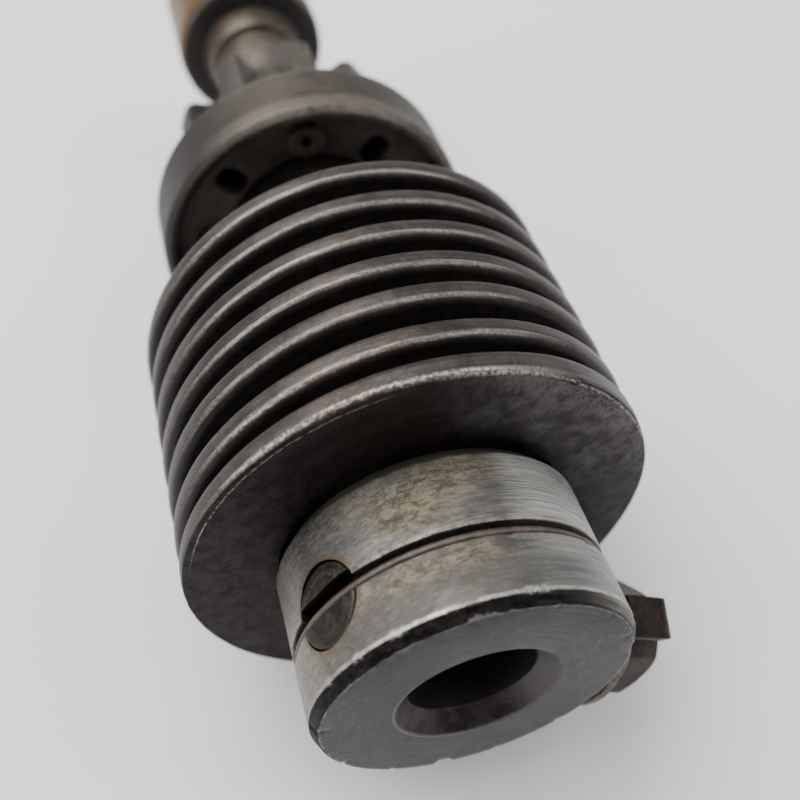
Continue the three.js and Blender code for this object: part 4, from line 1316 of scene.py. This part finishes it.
# piece, body it rides on, CAD node it replaces, material slot
pieces = [
    (make_collar(), "shaft_assembly", "drive_collar", "collar_steel"),
    (make_screw(), "shaft_assembly", "lock_screw", "fastener_steel"),
    (make_lock_ring(), "shaft_assembly", "lock_ring", "ring_wire"),
    (make_stud(), "shaft_assembly", "clamp_stud", "fastener_steel"),
    (make_washer(), "shaft_assembly", "tab_washer", "fastener_steel"),
    (make_nut(), "shaft_assembly", "clamp_nut", "fastener_steel"),
    (spring := make_spring(), "shaft_assembly", "drive_spring", "spring_steel"),
    (make_shaft(), "shaft_assembly", "drive_shaft", "shaft_steel"),
    (make_seat(), "sleeve", "spring_seat", "seat_steel"),
    (make_sleeve(), "sleeve", "screwed_sleeve", "shaft_steel"),
    (make_thrust_washer(), "thrust", "thrust_ring", "seat_steel"),
    (make_drum(), "pinion_unit", "drum", "drum_steel"),
    (make_plate(), "pinion_unit", "drum_plate", "plate_steel"),
]
make_rivets()
pieces += [
    (make_nut_hub(), "pinion_unit", "control_nut", "seat_steel"),
    (make_pinion(), "pinion_unit", "pinion", "drum_steel"),
    (make_end_washer(), "shaft_assembly", "end_washer", "washer_black"),
    (make_bush(), "bush", "brass_bush", "bush_brass"),
]
for piece in pieces:
    settle(*piece)
world_y(SPRING_FRONT)
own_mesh(spring)


# ------------------------------------------------------------------ floor, light and camera
def make_floor():
    """A pale plane just under the spring."""
    height = -SPRING_R * MM - 0.00005
    bpy.ops.mesh.primitive_plane_add(size=3.0, location=(0, -0.07, height))
    floor = bpy.context.object
    floor.name = "floor"
    m = Material("floor_pale")
    cloud = m.noise(scale=0.004, detail=2, rough=0.5)
    colour = m.mix(cloud.rise(lo=0.3, hi=0.7), (0.77, 0.765, 0.785), (0.80, 0.795, 0.81))
    floor.data.materials.append(m.finish(colour, rough=0.85, metal=0.0, specular=0.2))


def make_world():
    """A soft tent: bright overhead and behind the part, dim in front of it."""
    world = bpy.data.worlds.new("studio")
    bpy.context.scene.world = world
    world.use_nodes = True
    tent = Graph(world.node_tree)
    background = world.node_tree.nodes["Background"]
    _, y, z = tent.split(tent.node("ShaderNodeTexCoord", {}, "Generated"))
    lift = tent.math("MULTIPLY_ADD", y, 0.85, z * 0.30)     # weights of rearward and upward
    strength = tent.node("ShaderNodeMapRange", {
        "Value": lift, "From Min": -0.90, "From Max": 0.60, "To Min": 0.10, "To Max": 0.72,
    }, interpolation_type="SMOOTHSTEP")
    tent.put((0.95, 0.965, 1.0), background.inputs[0])
    tent.put(strength, background.inputs[1])


def area_light(name, location, size, energy, colour):
    """A square light aimed at the middle of the part."""
    light = bpy.data.lights.new(name, "AREA")
    light.energy = energy
    light.color = colour
    light.size = size
    ob = bpy.data.objects.new(name, light)
    bpy.context.scene.collection.objects.link(ob)
    ob.location = location
    aim = Vector((0, -0.09, 0)) - Vector(location)
    ob.rotation_euler = aim.to_track_quat("-Z", "Y").to_euler()


def make_camera():
    lens = bpy.data.cameras.new("camera")
    lens.sensor_width = 36.0
    lens.sensor_fit = "HORIZONTAL"
    lens.lens = 42.6915
    lens.clip_start = 0.005
    lens.shift_x = 0.001875
    lens.shift_y = -0.000125
    lens.dof.use_dof = True
    lens.dof.focus_distance = 0.088
    lens.dof.aperture_fstop = 22.0
    right = Vector((0.9621, -0.2728, 0.0005)).normalized()
    up = Vector((0.2067, 0.7300, 0.6514))
    up = (up - right * up.dot(right)).normalized()
    back = right.cross(up)
    camera = bpy.data.objects.new("camera", lens)
    bpy.context.scene.collection.objects.link(camera)
    camera.matrix_world = Matrix((
        (right.x, up.x, back.x, -0.0173),
        (right.y, up.y, back.y, -0.1742),
        (right.z, up.z, back.z, 0.0848),
        (0, 0, 0, 1)))
    bpy.context.scene.camera = camera


make_floor()
make_world()
area_light("key", location=(-0.22, 0.16, 0.62), size=0.65, energy=8.5,
           colour=(1.0, 0.985, 0.965))
area_light("fill", location=(0.50, -0.20, 0.50), size=0.5, energy=2.6,
           colour=(0.95, 0.97, 1.0))
area_light("left", location=(-0.60, -0.12, 0.30), size=0.45, energy=2.2,
           colour=(0.98, 0.985, 1.0))
make_camera()
